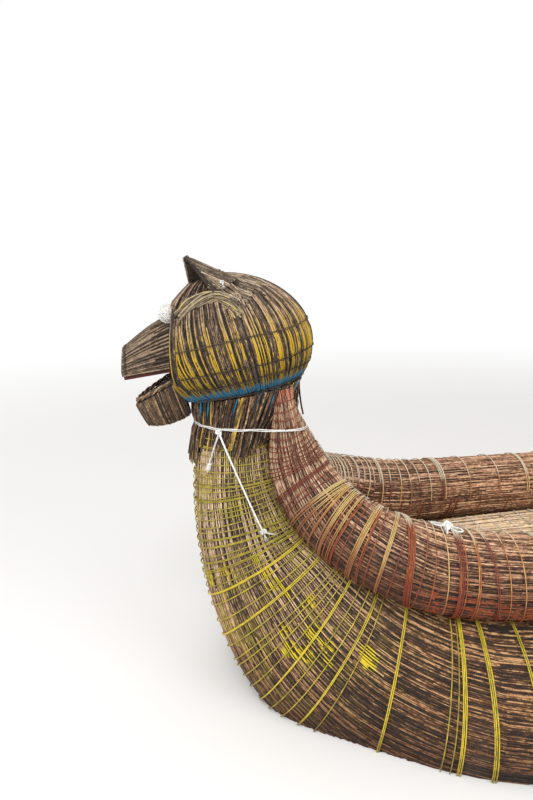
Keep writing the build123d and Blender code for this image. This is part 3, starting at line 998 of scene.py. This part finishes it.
# Cords round the gunwale rolls, bow to stern; the starboard roll has its own
# Place, cords side by side, slant in metres for a whole turn, tint
PORT_ROLL_CORDS = [
    (19.20, 1, 0.08, 0.20), (19.12, 2, 0.08, 0.15), (18.90, 1, 0.08, 0.30), (18.72, 1, 0.06, 0.25),
    (18.44, 3, 0.06, 0.90), (18.30, 1, 0.06, 0.80), (18.14, 2, 0.08, 0.70), (18.00, 1, 0.08, 0.60),
    (17.84, 2, 0.08, 0.65), (17.60, 1, 0.08, 0.70), (17.48, 3, 0.08, 0.80), (17.35, 1, 0.08, 0.60),
    (17.20, 2, 0.08, 0.70), (17.07, 2, 0.08, 0.45), (16.55, 4, 0.07, 0.70), (16.40, 2, 0.11, 0.40),
    (15.95, 3, 0.10, 0.75), (15.50, 5, 0.37, 0.38), (14.97, 1, 0.09, 0.45), (14.71, 1, 0.09, 0.75),
    (14.47, 4, 0.09, 0.22), (14.39, 1, 0.09, 0.40), (14.17, 2, 0.09, 0.50), (13.81, 2, 0.20, 0.20),
    (13.53, 1, 0.09, 0.45), (13.28, 1, 0.09, 0.60), (16.85, 1, 0.09, 0.30), (16.22, 1, 0.10, 0.35),
    (15.72, 1, 0.15, 0.30), (15.22, 1, 0.12, 0.35),
]


def cord_rows(places, counts, tints):
    """Rows of such a table for cords of one slant, from repeating counts and tints."""
    return [(place, cords, 0.08, tint) for place, cords, tint in zip(places, counts, tints)]


AFT_ROLL_CORDS = cord_rows(
    spaced(0.8, 12.95, 0.33),
    [1, 3, 1, 2, 1, 1, 4, 1, 2, 1, 3, 1] * 4,
    [0.5, 0.2, 0.7, 0.4, 0.8, 0.3, 0.25, 0.6, 0.45, 0.75, 0.35] * 4,
)
FAR_ROLL_CORDS = cord_rows(
    spaced(13.2, 19.3, 0.29), [1, 1, 2, 1, 1, 3, 1] * 3, [0.8, 0.6, 0.9, 0.3, 0.75, 0.85] * 4
)


def roll_cords(rows, close):
    """Roll cords at the places of a table, and thin ones close together at the top."""
    strands = []
    for place, cords, slant, tint in rows:
        strands += roll_band(place, cords, ROLL_CORD_SIZE, slant, tint)
    for place in close:
        ring = roll_ring(place + rng.uniform(-0.015, 0.015))
        slant = rng.uniform(0.03, 0.11)
        strands += cord_band(ring, ROUND, 26, 1, 0.0026, 0.0130, slant, 0.16)
    return strands


port_cords = roll_cords(PORT_ROLL_CORDS + AFT_ROLL_CORDS, spaced(19.55, 20.7, 0.095))
strand_piece("roll_cords_port", port_cords, roll_cord)
far_cords = roll_cords(FAR_ROLL_CORDS + AFT_ROLL_CORDS, spaced(19.55, 20.7, 0.14))
strand_piece("roll_cords_starboard", [cord.mirrored() for cord in far_cords], roll_cord)

# Lashings: several turns of cord side by side, where the solids have them
HULL_LASHING_PLACES = (6, 8, 10, 12)
NECK_LASHING_PLACE = 13.90
ROLL_LASHING_PLACES = (5, 7, 9, 11, 13)
hull_wraps = []
for place in HULL_LASHING_PLACES:
    hull_wraps += hull_band(place, 4, 0.0028, 0.03, 0.8)
hull_wraps += hull_band(NECK_LASHING_PLACE, 3, 0.0028, 0.05, 0.95)
both_sides("hull_wraps", hull_wraps, hull_cord, replaces="hull_lashings")
roll_wraps = []
for place in ROLL_LASHING_PLACES:
    roll_wraps += roll_band(place, 4, 0.0026, 0.06, 0.35)
both_sides("roll_wraps", roll_wraps, roll_cord, replaces="roll_lashings")

# Deck mat: straw laid lengthwise, and the cords across it
MAT_TOP = 0.620
MAT_AFT, MAT_FORWARD = -2.245, 2.415
MAT_HALF_AFT, MAT_HALF_FORWARD = 0.440, 0.412
MAT_SIDE_BOW = 0.180
MAT_LANES = 96
MAT_TIE_GAP = 0.11


def mat_half_width(x):
    """Half the mat's width, from its bowed sides."""
    share = (x - MAT_AFT) / (MAT_FORWARD - MAT_AFT)
    straight = MAT_HALF_AFT + (MAT_HALF_FORWARD - MAT_HALF_AFT) * share
    return straight + MAT_SIDE_BOW * 4 * share * (1 - share)


def straw(x, end, lane):
    """One straw of the mat, in one of its lanes."""
    y_share = 2 * (lane + 0.5) / MAT_LANES - 1
    height = MAT_TOP + rng.uniform(-0.002, 0.003)
    skew = rng.uniform(-0.012, 0.012)
    points = []
    for k in range(7):
        px = x + (end - x) * k / 6
        py = y_share * (mat_half_width(px) - 0.012) + skew * (k - 3) / 3
        bump = 0.001 * noise.noise(Vector((px * 9, lane, 0)))
        points.append(Vector((px, py, height + bump)))
    return Strand(points, rng.uniform(0.0038, 0.0058))


straws = []
for lane in range(MAT_LANES):
    x = MAT_AFT + rng.uniform(0, 0.08)
    while x < MAT_FORWARD - 0.15:
        end = min(x + rng.uniform(0.5, 1.4), MAT_FORWARD - rng.uniform(0, 0.06))
        straws.append(straw(x, end, lane))
        x = end + rng.uniform(-0.03, 0.01)
strand_piece("deck_straws", straws, deck_reed)
ties = []
x = MAT_AFT + 0.06
while x < MAT_FORWARD - 0.04:
    half = mat_half_width(x) - 0.006
    bend = rng.uniform(-0.01, 0.01)
    across = [
        Vector((x + bend * cos(3 * k), half * (k / 9 - 1), MAT_TOP + 0.0065)) for k in range(19)
    ]
    ties.append(Strand(across, 0.0022, tint=rng.uniform(0.6, 1.0)))
    x += MAT_TIE_GAP
strand_piece("deck_ties", ties, rope)

# Head: reeds fan down from the crown to the band
SKULL_MIDDLE = Vector((3.70, 0, 1.78))
CROWN = Vector((0.30, 0, 0.954)).normalized()
CROWN_FRONT = (FORE - CROWN * CROWN.x).normalized()
STITCH_HEIGHTS = (0.008, 0.072, 0.135, 0.262)


def over_band(point):
    """A point's height above the band."""
    return (point - BAND_AFT).dot(BAND_UP)


def skull_reeds(count, size):
    strands = []
    for index in range(count):
        turn = 2 * pi * (index + rng.uniform(-0.25, 0.25)) / count
        drop = max(asin(min(spread_order(index) * 0.98, 1.0)), 0.10)
        end = rng.uniform(-0.004, 0.006)
        proud = rng.uniform(0.3, 1.1) * size
        phase = rng.random() * 100
        points = []
        while drop < radians(150):
            swing = turn + 0.012 * noise.noise(Vector((drop * 6, phase, 0)))
            way = CROWN * cos(drop) + (CROWN_FRONT * cos(swing) + PORT * sin(swing)) * sin(drop)
            bare = skull_skin.hit(SKULL_MIDDLE, way, 0.0)
            height = over_band(bare)
            pinch = min(abs(height - level) for level in STITCH_HEIGHTS)
            rise = proud + size * 0.9 * (1 - 0.8 * (pinch < 0.018))
            place = skull_skin.hit(SKULL_MIDDLE, way, rise)
            if height < end:
                break
            points.append(place)
            drop += radians(3.6)
        if len(points) > 3:
            made = size * rng.uniform(0.8, 1.25)
            strands.append(Strand(points, made, made * 0.9, mark=turn))
    return strands


strand_piece("skull_reeds", skull_reeds(290, 0.0040), head_reed)

# Threads that stitch the head's reeds down, from one side of the face round to the other
THREAD_START, THREAD_REACH = radians(36), radians(288)
threads = []
for level in STITCH_HEIGHTS:
    middle = SKULL_MIDDLE - BAND_UP * over_band(SKULL_MIDDLE) + BAND_UP * (level + 0.001)
    for shift in (0.0, 0.004):
        points = []
        for step in range(97):
            turn = THREAD_START + THREAD_REACH * step / 96
            way = BAND_WAY * cos(turn) + PORT * sin(turn)
            weave = 0.0022 * sin(step * 2.1 + shift * 900) + 0.004 * sin(step * 0.21 + level * 40)
            spot = skull_skin.hit(middle + BAND_UP * (shift + weave), way, 0.0125)
            points.append(spot)
        threads.append(Strand(points, 0.0017))
strand_piece("head_threads", threads, dark_cord, replaces=("head_stitching",))

# Brow rolls and face rims
BROW_PATH = [
    (3.992, 0.214, 1.912), (3.905, 0.232, 1.992), (3.815, 0.234, 2.022),
    (3.742, 0.266, 1.985), (3.700, 0.294, 1.930),
]
brow_line = smooth_path(BROW_PATH, 0.02)
brow = bundle_round(brow_line, 0.018, 16, 0.0048, 1.1, loose=0.5, cut=0.25)
brow += bundle_round(brow_line, 0.026, 22, 0.0042, 1.6, loose=0.5, cut=0.35)
both_sides("brow", brow, brow_reed, replaces="brow_roll")
RIM_PATH = [
    (3.990, 0.196, 1.960), (4.000, 0.240, 1.885), (4.004, 0.258, 1.790),
    (4.000, 0.240, 1.690), (3.985, 0.196, 1.620),
]
rim = bundle_round(smooth_path(RIM_PATH, 0.02), 0.015, 12, 0.0048, 0.5, loose=0.2)
both_sides("face_rim_reeds", rim, head_reed, replaces="face_rim")

# Upper jaw: reeds from the face to the nose, and short ones down the nose
# x, base height, half width, height
UPPER_JAW = [
    (3.960, 1.701, 0.195, 0.259), (4.110, 1.669, 0.132, 0.203), (4.245, 1.640, 0.076, 0.124),
]
upper_skin = Skin("upper_jaw")


def between_rows(rows, share):
    """Numbers at a share of the way along a table of three rows, on a smooth curve."""
    first = (1 - share) * (1 - 2 * share)
    middle = 4 * share * (1 - share)
    last = share * (2 * share - 1)
    return [a * first + b * middle + c * last for a, b, c in zip(*rows)]


def jaw_point(share, turn):
    x, base, half, height = between_rows(UPPER_JAW, share)
    return Vector((x, half * cos(turn), base + height * sin(turn)))


JAW_LANES, NOSE_LANES = 74, 19
jaw_strands = []
for index in range(JAW_LANES):
    turn = pi * (index + 0.5) / JAW_LANES
    rank = spread_order(index)
    start = 0.20 + (0.35 * rank if rank > 0.5 else 0)
    proud = rng.uniform(0.3, 1.1) * 0.0045
    spots = [jaw_point(start + (1.0 - start) * k / 7, turn) for k in range(8)]
    points = [upper_skin.lay(spot + UP * 0.002, proud) for spot in spots]
    made = 0.0046 * rng.uniform(0.8, 1.2)
    jaw_strands.append(Strand(points, made, made * 0.9))
for index in range(NOSE_LANES):
    y = 0.071 * (2 * (index + 0.5) / NOSE_LANES - 1)
    top = 0.119 * sqrt(1 - (y / 0.076) ** 2)
    points = [
        Vector((4.2455 + 0.003 * sin(pi * k / 4), y, 1.641 + top * (1 - k / 4))) for k in range(5)
    ]
    jaw_strands.append(Strand(points, 0.0042))
strand_piece("upper_jaw_reeds", jaw_strands, jaw_reed)
jaw_ties = []
for share in (0.93, 0.955):
    points = [upper_skin.lay(jaw_point(share, pi * k / 24), 0.0095) for k in range(25)]
    jaw_ties.append(Strand(points, 0.0022))
strand_piece("jaw_threads", jaw_ties, dark_cord)

# Lower jaw: reeds laid round the scoop like hoops, and a twisted rim
# Rim x and z, keel x and z, half width
LOWER_JAW = [
    (3.985, 1.625, 3.925, 1.442, 0.160),
    (4.090, 1.560, 4.035, 1.394, 0.118),
    (4.185, 1.503, 4.131, 1.390, 0.066),
]
lower_skin = Skin("lower_jaw")


def scoop_point(share, turn, shrink=1.0):
    """A point of the scoop; turn is 0 at its port rim and 180 degrees at the other."""
    rim_x, rim_z, keel_x, keel_z, half = between_rows(LOWER_JAW, share)
    across = half * shrink * cos(turn)
    down = sin(turn) * shrink
    return Vector((rim_x + (keel_x - rim_x) * down, across, rim_z + (keel_z - rim_z) * down))


hoops = []
for index in range(29):
    share = 0.06 + 0.94 * index / 28
    proud = rng.uniform(0.25, 0.9) * 0.005
    points = [lower_skin.lay(scoop_point(share, pi * k / 30), proud) for k in range(31)]
    hoops.append(Strand(points, 0.0048 * rng.uniform(0.85, 1.15)))
for index in range(9):
    shrink = 0.93 - 0.1 * index
    points = [
        scoop_point(1.0, pi * k / 24, shrink) + Vector((0.0025, 0, -0.0015)) for k in range(25)
    ]
    hoops.append(Strand(points, 0.0045))
strand_piece("lower_jaw_reeds", hoops, jaw_reed)
LIP_PATH = [(4.015, 0.138, 1.622), (4.090, 0.103, 1.577), (4.160, 0.065, 1.532), (4.184, 0, 1.516)]
lip_path = smooth_path(LIP_PATH + [(x, -y, z) for x, y, z in reversed(LIP_PATH[:-1])], 0.014)
lip = bundle_round(lip_path, 0.0065, 3, 0.0062, 30.0, hint=UP)
strand_piece("lower_lip", lip, jaw_reed, sides=6, replaces=("jaw_rim",))

# Ears: reeds parallel to the back edge, cut off at the front edge
EAR_TIP = Vector((3.941, 0.150, 2.200))
EAR_UP = Vector((0.407, 0, 0.913))
EAR_FORE = Vector((0.913, 0, -0.407))
EAR_FLARE = 0.175 / 0.190
EAR_NARROWING = 0.62
EAR_FRONT_TURN = radians(112)
EAR_INNER_TURN = radians(68)
EAR_DEPTH = 0.186
EAR_REED_END = 0.200
# How far the back edge falls and runs aft for each metre of it
EAR_BACK_FALL, EAR_BACK_RUN = 0.7356, 0.677
ear_skin = Skin("ear_port")


def ear_point(depth, fore, side):
    """A point of the ear's cone, from its depth below the tip and how far fore it is."""
    radius = EAR_FLARE * depth
    width = EAR_NARROWING * sqrt(max(radius**2 - fore**2, 0.0))
    return EAR_TIP - EAR_UP * depth + EAR_FORE * fore + PORT * (side * width)


def ear_reeds():
    """Reeds on the ear's two flanks, and two that edge each flank's front."""
    strands = []
    for side, front in ((1, cos(EAR_FRONT_TURN)), (-1, cos(EAR_INNER_TURN))):
        for index in range(20):
            start = EAR_DEPTH * (index + 0.3) / 20
            proud = rng.uniform(0.2, 1.6) * 0.0035
            points = []
            for k in range(9):
                run = (EAR_REED_END - start) / EAR_BACK_FALL * k / 8
                depth = start + EAR_BACK_FALL * run
                fore = front * EAR_FLARE * start - EAR_BACK_RUN * run
                points.append(ear_skin.lay(ear_point(depth, fore, side), proud))
            strands.append(Strand(points, 0.0036 * rng.uniform(0.8, 1.25)))
        for shift in (0.0, 0.006):
            points = []
            for k in range(9):
                depth = 0.004 + 0.178 * k / 8
                point = ear_point(depth, front * EAR_FLARE * depth, side) - EAR_FORE * shift
                points.append(ear_skin.lay(point, 0.004))
            strands.append(Strand(points, 0.0045))
    return strands


def ear_foot(count, size):
    """Straws from the ear's back and side, laid down and back over the skull."""
    strands = []
    for index in range(count):
        turn = radians(100 + 165 * (index + 0.5) / count)
        depth = EAR_DEPTH * rng.uniform(0.62, 0.98)
        side = 1 if turn < pi else -1
        start = ear_point(depth, EAR_FLARE * depth * cos(turn), side)
        points = [ear_skin.lay(start, size * 1.3)]
        spread = Vector((start.x - EAR_TIP.x, (start.y - EAR_TIP.y) * 1.5, 0)).normalized()
        fall = (Vector((-0.75, 0.30, -0.35)) + spread * 0.55).normalized()
        length = rng.uniform(0.10, 0.20)
        for k in range(1, 8):
            loose = start + fall * (length * k / 7)
            way = (loose - SKULL_MIDDLE).normalized()
            laid = skull_skin.hit(SKULL_MIDDLE, way, size * 2.4)
            outside = (loose - SKULL_MIDDLE).length > (laid - SKULL_MIDDLE).length
            points.append(loose.lerp(laid, min(k / 3, 1.0)) if outside else laid)
        strands.append(Strand(points, size * rng.uniform(0.8, 1.2)))
    return strands


both_sides("ear_reeds", ear_reeds() + ear_foot(70, 0.0038), ear_reed)
EAR_TIE = Vector((3.782, 0.241, 2.086))
ear_tie_way = Vector((-0.2, 0.5, -0.8)).normalized()
ear_tie = [tight_knot(EAR_TIE, PORT, 0.012, 0.0030)]
ear_tie += frayed_end(EAR_TIE, ear_tie_way, 8, 0.035, 0.004, 0.0012)
strand_piece("ear_tie", ear_tie, rope)

# Eyes: loose balls of white yarn
EYE_CENTRE = Vector((4.031, 0.100, 1.934))
EYE_RADIUS = 0.036
EYE_YARNS = 34
yarn = []
for _ in range(EYE_YARNS):
    axis = Vector([rng.gauss(0, 1) for _ in range(3)]).normalized()
    first = axis.orthogonal().normalized()
    second = axis.cross(first)
    size = EYE_RADIUS + rng.uniform(0.0, 0.004)
    turns = [pi * k / 11 for k in range(23)]
    points = [EYE_CENTRE + (first * cos(turn) + second * sin(turn)) * size for turn in turns]
    yarn.append(Strand(points, 0.0016))
both_sides("eye_netting", yarn, eye_yarn)

# Skirt: loose reed ends, pinched by the neck tie
# Degrees from the bow, and how low the skirt hangs there
SKIRT_ENDS = [
    (0, 1.235), (25, 1.255), (38, 1.325), (78, 1.335), (96, 1.265), (120, 1.30), (181, 1.30),
]
STEM_TOP = 1.568
SKIRT_TOP, SKIRT_FOOT = 1.574, 1.253
# Middle x, half length and half width of the skirt's solid, at its top and at its foot
SKIRT_TOP_ROUND = (3.645, 0.260, 0.240)
SKIRT_FOOT_ROUND = (3.733, 0.177, 0.233)
TIE_CENTRE = Vector((3.708, 0, 1.405))


def skirt_end(turn):
    """How low the skirt hangs at a turn from the bow, in degrees."""
    for (a, low_a), (b, low_b) in zip(SKIRT_ENDS, SKIRT_ENDS[1:]):
        if a <= turn <= b:
            return low_a + (low_b - low_a) * (turn - a) / (b - a)
    return SKIRT_ENDS[-1][1]


def skirt_place(turn, z, out):
    """A place on the skirt's solid, at a turn round it and a height on its middle line."""
    fall = (SKIRT_TOP - z) / (SKIRT_TOP - SKIRT_FOOT)
    x, along, across = (a + (b - a) * fall for a, b in zip(SKIRT_TOP_ROUND, SKIRT_FOOT_ROUND))
    ahead = BAND_WAY * ((along + out) * cos(turn))
    return Vector((x, 0, z)) + ahead + PORT * ((across + out) * sin(turn))


def skirt_stems(count, inset, size):
    strands = []
    for index in range(count):
        turn = 2 * pi * (index + rng.uniform(-0.4, 0.4)) / count
        degrees_off = abs((turn * 180 / pi + 180) % 360 - 180)
        low = skirt_end(degrees_off) + rng.uniform(-0.025, 0.035)
        lean = rng.uniform(-0.07, 0.07)
        bulge = rng.uniform(0.002, 0.022) - inset
        flare = rng.uniform(-0.012, 0.030)
        twist = rng.uniform(-0.05, 0.05)
        points = []
        for k in range(13):
            share = k / 12
            z = STEM_TOP + (low - STEM_TOP) * share
            angle = turn + lean * share + twist * sin(pi * share)
            bare = skirt_place(angle, z, 0.0)
            near = max(0.0, 1 - abs(bare.z - TIE_CENTRE.z) / 0.045)
            below = max(0.0, TIE_CENTRE.z - 0.02 - bare.z) / 0.15
            tied = min(0.003, bulge) if inset == 0 else bulge
            out = bulge * (1 - near) + tied * near + flare * min(below, 1.0)
            points.append(skirt_place(angle, z, out))
        made = size * rng.uniform(0.6, 1.25)
        strands.append(Strand(points, made, made * rng.uniform(0.4, 0.9)))
    return strands


def off_rolls(point, proud):
    """The point itself, or its place just outside the roll where it would go into it."""
    side = Vector((point.x, abs(point.y), point.z))
    place, normal, _, _ = roll_skin.tree.find_nearest(side)
    if (side - place).dot(normal) < proud and (side - place).length < 0.09:
        side = place + normal * proud
    return Vector((side.x, side.y if point.y >= 0 else -side.y, side.z))


def nape_stems(count, size):
    """Stems that hang from the head's lower back edge, over the tops of the rolls."""
    strands = []
    middle = SKULL_MIDDLE - BAND_UP * (over_band(SKULL_MIDDLE) - 0.003)
    for index in range(count):
        turn = radians(97 + 166 * (index + rng.uniform(-0.4, 0.4)) / count)
        way = BAND_WAY * cos(turn) + PORT * sin(turn)
        edge = skull_skin.hit(middle, way, 0.0) - way * rng.uniform(0.004, 0.030)
        behind = abs(sin(turn)) < 0.72
        length = rng.uniform(0.10, 0.23) if behind else rng.uniform(0.025, 0.085)
        away = (way * rng.uniform(-0.25, 0.12) + FORE * rng.uniform(-0.05, 0.10)) * length
        points = [
            off_rolls(edge - UP * (length * k / 6) + away * (k / 6) ** 2, 0.005 + size)
            for k in range(7)
        ]
        made = size * rng.uniform(0.7, 1.3)
        strands.append(Strand(points, made, made * rng.uniform(0.4, 1.0)))
    return strands


stems = skirt_stems(200, 0.020, 0.0060) + skirt_stems(250, 0.0, 0.0048)
strand_piece("skirt_stems", stems, skirt_reed, replaces=("neck_skirt",))
strand_piece("nape_stems", nape_stems(170, 0.0045), skirt_reed)


# Ties: cords that follow the line of their solids
def line_of_tie(node, centre, across, down, radius, steps):
    """The centreline of a tie, found from outside in."""
    skin = Skin(node)
    line = []
    for step in range(steps):
        turn = 2 * pi * step / steps
        way = across * cos(turn) + down * sin(turn)
        place = skin.tree.ray_cast(centre + way * 2, -way)[0]
        if place is not None:
            line.append(place - way * radius)
    return line + line[:1]


def tie_cords(line, centre, rise, rows, size):
    """Cords along a tie: rows give how far each stands up and out from its line."""
    cords = []
    for height, out in rows:
        points = []
        for k, p in enumerate(line):
            away = (p - centre).normalized()
            weave = 0.0015 * sin(k * 0.9 + height * 900)
            points.append(p + rise * (height + weave) + away * out)
        cords.append(Strand(points, size))
    return cords


def rope_piece(name, strands, node, material=rope):
    """A round piece of rope that stands for a node."""
    return strand_piece(name, strands, material, sides=6, replaces=(node,))


neck_line = line_of_tie("neck_tie", TIE_CENTRE, FORE, PORT, 0.010, 90)
neck_cords = tie_cords(neck_line, TIE_CENTRE, UP, ((0.0030, -0.003), (-0.0028, -0.001)), 0.0025)
rope_piece("neck_tie_cords", neck_cords, "neck_tie")

stern_row = blend_rows(1)
stern_inward = inward_way(stern_row)
stern_way = PORT.cross(stern_inward)
stern_centre = in_section(stern_row, 0.0, stern_row["depth"] / 2 + 0.04)
stern_line = line_of_tie("stern_binding", stern_centre, PORT, stern_inward, 0.010, 90)
STERN_TURNS = [(-0.0135 + 0.0054 * k, 0.002 + 0.003 * (k % 2)) for k in range(6)]
stern_cords = tie_cords(stern_line, stern_centre, stern_way, STERN_TURNS, 0.0032)
rope_piece("stern_binding_cords", stern_cords, "stern_binding", hull_cord)


# Stern tuft: cut reed ends, fanned a little
TUFT_LENGTH = 0.150
TUFT_RADIUS = 0.119
TUFT_FAN_OUT, TUFT_FAN_IN = 0.036, 0.033


def tuft_stems(count, size):
    row = blend_rows(0)
    inward = inward_way(row)
    way = inward.cross(PORT)
    foot = in_section(row, 0.0, row["depth"] / 2)
    strands = []
    for index in range(count):
        radius = sqrt((index + 0.5) / count)
        turn = index * GOLDEN_TURN
        length = TUFT_LENGTH * rng.uniform(0.80, 1.04)
        side, rise = radius * cos(turn), radius * sin(turn)
        points = []
        for k in range(5):
            share = k / 4
            wide = TUFT_RADIUS + TUFT_FAN_OUT * share**1.5
            deep = TUFT_RADIUS + TUFT_FAN_IN * share**1.5
            lift = way * (length * share + 0.001)
            points.append(foot + PORT * (side * wide) + inward * (rise * deep) + lift)
        strands.append(Strand(points, size * rng.uniform(0.8, 1.2), mark=radius))
    return strands


tuft = tuft_stems(420, 0.0066)
strand_piece("stern_tuft_stems", tuft, stern_reed, replaces=("stern_tuft",))


# Hanging ropes
def rope_strands(line, radius):
    """Three strands laid round each other along a line."""
    return bundle_round(line, radius * 0.5, 3, radius * 0.5, 2 * pi * len(line) / 11, hint=PORT)


def hanging_rope(name, line, knot_strands, knot_node):
    """A rope with its end knot."""
    knot_piece = rope_piece(name + "_knot_cords", knot_strands, knot_node)
    laid_piece = rope_piece(name + "_strands", rope_strands(line, TAIL_DIAMETER / 2), name)


long_end = Vector(LONG_TAIL[-1])
long_way = (long_end - Vector(LONG_TAIL[-2])).normalized()
stray_way = Vector((-0.9, 0.35, -0.15)).normalized()
end_knot = [tight_knot(long_end, long_way, 0.020, 0.0055)]
end_knot += frayed_end(long_end, long_way, 22, 0.050, 0.006, 0.0012)
end_knot += frayed_end(long_end, stray_way, 9, 0.060, 0.003, 0.0012)
hanging_rope("neck_rope", long_line, end_knot, "neck_rope_end_knot")

short_end = Vector(SHORT_TAIL[-1])
short_way = (short_end - Vector(SHORT_TAIL[-2])).normalized()
WHIP_TURNS = 10
WHIP_LENGTH, WHIP_STEP, WHIP_RADIUS = 0.022, 0.0036, 0.0085
whipping = []
for k in range(WHIP_TURNS):
    points = []
    for j in range(11):
        turn = 2 * pi * j / 10
        up_rope = short_way * (WHIP_LENGTH - WHIP_STEP * (k + j / 10))
        out = (FORE * cos(turn) + PORT * sin(turn)) * WHIP_RADIUS
        points.append(short_end - up_rope + out)
    whipping.append(Strand(points, 0.0026, tint=0.6))
whipping += frayed_end(short_end + short_way * 0.008, short_way, 14, 0.026, 0.004, 0.0011)
hanging_rope("short_rope", short_line, whipping, "short_rope_knot")

NECK_KNOT = Vector((3.805, 0.236, 1.396))
rope_piece("neck_knot_cords", [tight_knot(NECK_KNOT, PORT, 0.019, 0.0052)], "neck_rope_knot")

# The knot on the port gunwale roll, with two loops and two short ends that lie on the roll
GUNWALE_KNOT = Vector((2.790, 0.528, 0.988))
LOOP_PATH = [
    (0, 0), (0.030, 0.019), (0.058, 0.020), (0.074, 0.0), (0.058, -0.020), (0.030, -0.019), (0, 0),
]
LOOP_TURNS = (-0.35, 2.5)
END_TURNS = (-1.3, 1.2)
END_LENGTH = 0.075
KNOT_PROUD = 0.016
gunwale_knot = [
    tight_knot(GUNWALE_KNOT, UP, 0.036, 0.0085, 0.8),
    tight_knot(GUNWALE_KNOT + Vector((0.006, 0, 0.006)), Vector((0.3, 0.2, 0.93)), 0.028, 0.0080),
]
for turn in LOOP_TURNS:
    ahead = FORE * cos(turn) + PORT * sin(turn)
    aside = PORT * cos(turn) - FORE * sin(turn)
    loop = smooth_path([GUNWALE_KNOT + ahead * x + aside * y for x, y in LOOP_PATH], 0.007)
    points = [roll_skin.lay(spot, KNOT_PROUD) for spot in loop]
    gunwale_knot.append(Strand(points, 0.0045, tint=0.5))
for turn in END_TURNS:
    ahead = FORE * cos(turn) + PORT * sin(turn)
    spots = [GUNWALE_KNOT + ahead * (END_LENGTH * k / 7) for k in range(8)]
    points = [roll_skin.lay(spot, KNOT_PROUD) for spot in spots]
    gunwale_knot.append(Strand(points, 0.0045, tint=0.7))
rope_piece("gunwale_knot_cords", gunwale_knot, "gunwale_knot")

# Floor at the waterline, and soft light
floor_mesh = bpy.data.meshes.new("floor")
floor_form = bmesh.new()
bmesh.ops.create_grid(floor_form, x_segments=1, y_segments=1, size=60)
floor_form.to_mesh(floor_mesh)
floor_form.free()
floor = bpy.data.objects.new("floor", floor_mesh)
collection.objects.link(floor)
FLOOR_COLOUR = (0.80, 0.80, 0.80)
FADE_MIDDLE, FADE_HALF_WIDTH = 9.0, 6.0
SKY_COLOUR, SKY_STRENGTH = (1.0, 0.97, 0.94), 0.85
WHITE = (1.0, 1.0, 1.0)
SEEN_RAYS = ("Is Camera Ray", "Is Glossy Ray", "Is Transmission Ray")


def seen(graph):
    """1 on the rays that show a background, to the camera, in gloss or through glass."""
    return sum(graph.node("ShaderNodeLightPath", output=ray) for ray in SEEN_RAYS)


def show_white(graph, factor, kind, shader, output):
    """Turns what a node gives out to plain white by a factor."""
    white = graph.node(kind, sockets={"Color": WHITE, "Strength": 1.0})
    fade = graph.node("ShaderNodeMixShader", sockets=(factor, graph.output_of(shader), white))
    graph.feed(graph.nodes[output].inputs[0], fade)


floor_graph = material_graph("pale_floor")
floor_mesh.materials.append(floor_graph.finish(FLOOR_COLOUR, 0.9))
far_away = floor_graph.vector_math("LENGTH", floor_graph.place(), output="Value")
far_seen = far_away.step(FADE_MIDDLE, FADE_HALF_WIDTH) * seen(floor_graph)
show_white(floor_graph, far_seen, "ShaderNodeEmission", "Principled BSDF", "Material Output")

world = bpy.data.worlds.new("world")
bpy.context.scene.world = world
sky_graph = Graph(world)
sky = sky_graph.nodes["Background"]
sky_graph.feed(sky.inputs["Color"], SKY_COLOUR)
sky_graph.feed(sky.inputs["Strength"], SKY_STRENGTH)
show_white(sky_graph, seen(sky_graph), "ShaderNodeBackground", "Background", "World Output")

# Lamps: name, place, aim, size, power
LAMPS = [
    ("key", (6.5, 6.0, 7.5), (3.4, 0.4, 0.8), 5.0, 620),
    ("fill", (-3.0, 8.0, 5.0), (1.0, 0.5, 0.5), 6.0, 300),
]
for name, spot, aim, size, power in LAMPS:
    lamp_data = bpy.data.lights.new(name, "AREA")
    lamp_data.size = size
    lamp_data.energy = power
    lamp = bpy.data.objects.new(name, lamp_data)
    lamp.location = spot
    lamp.rotation_euler = (Vector(aim) - Vector(spot)).to_track_quat("-Z", "Y").to_euler()
    collection.objects.link(lamp)

bpy.context.scene.view_settings.view_transform = "Standard"
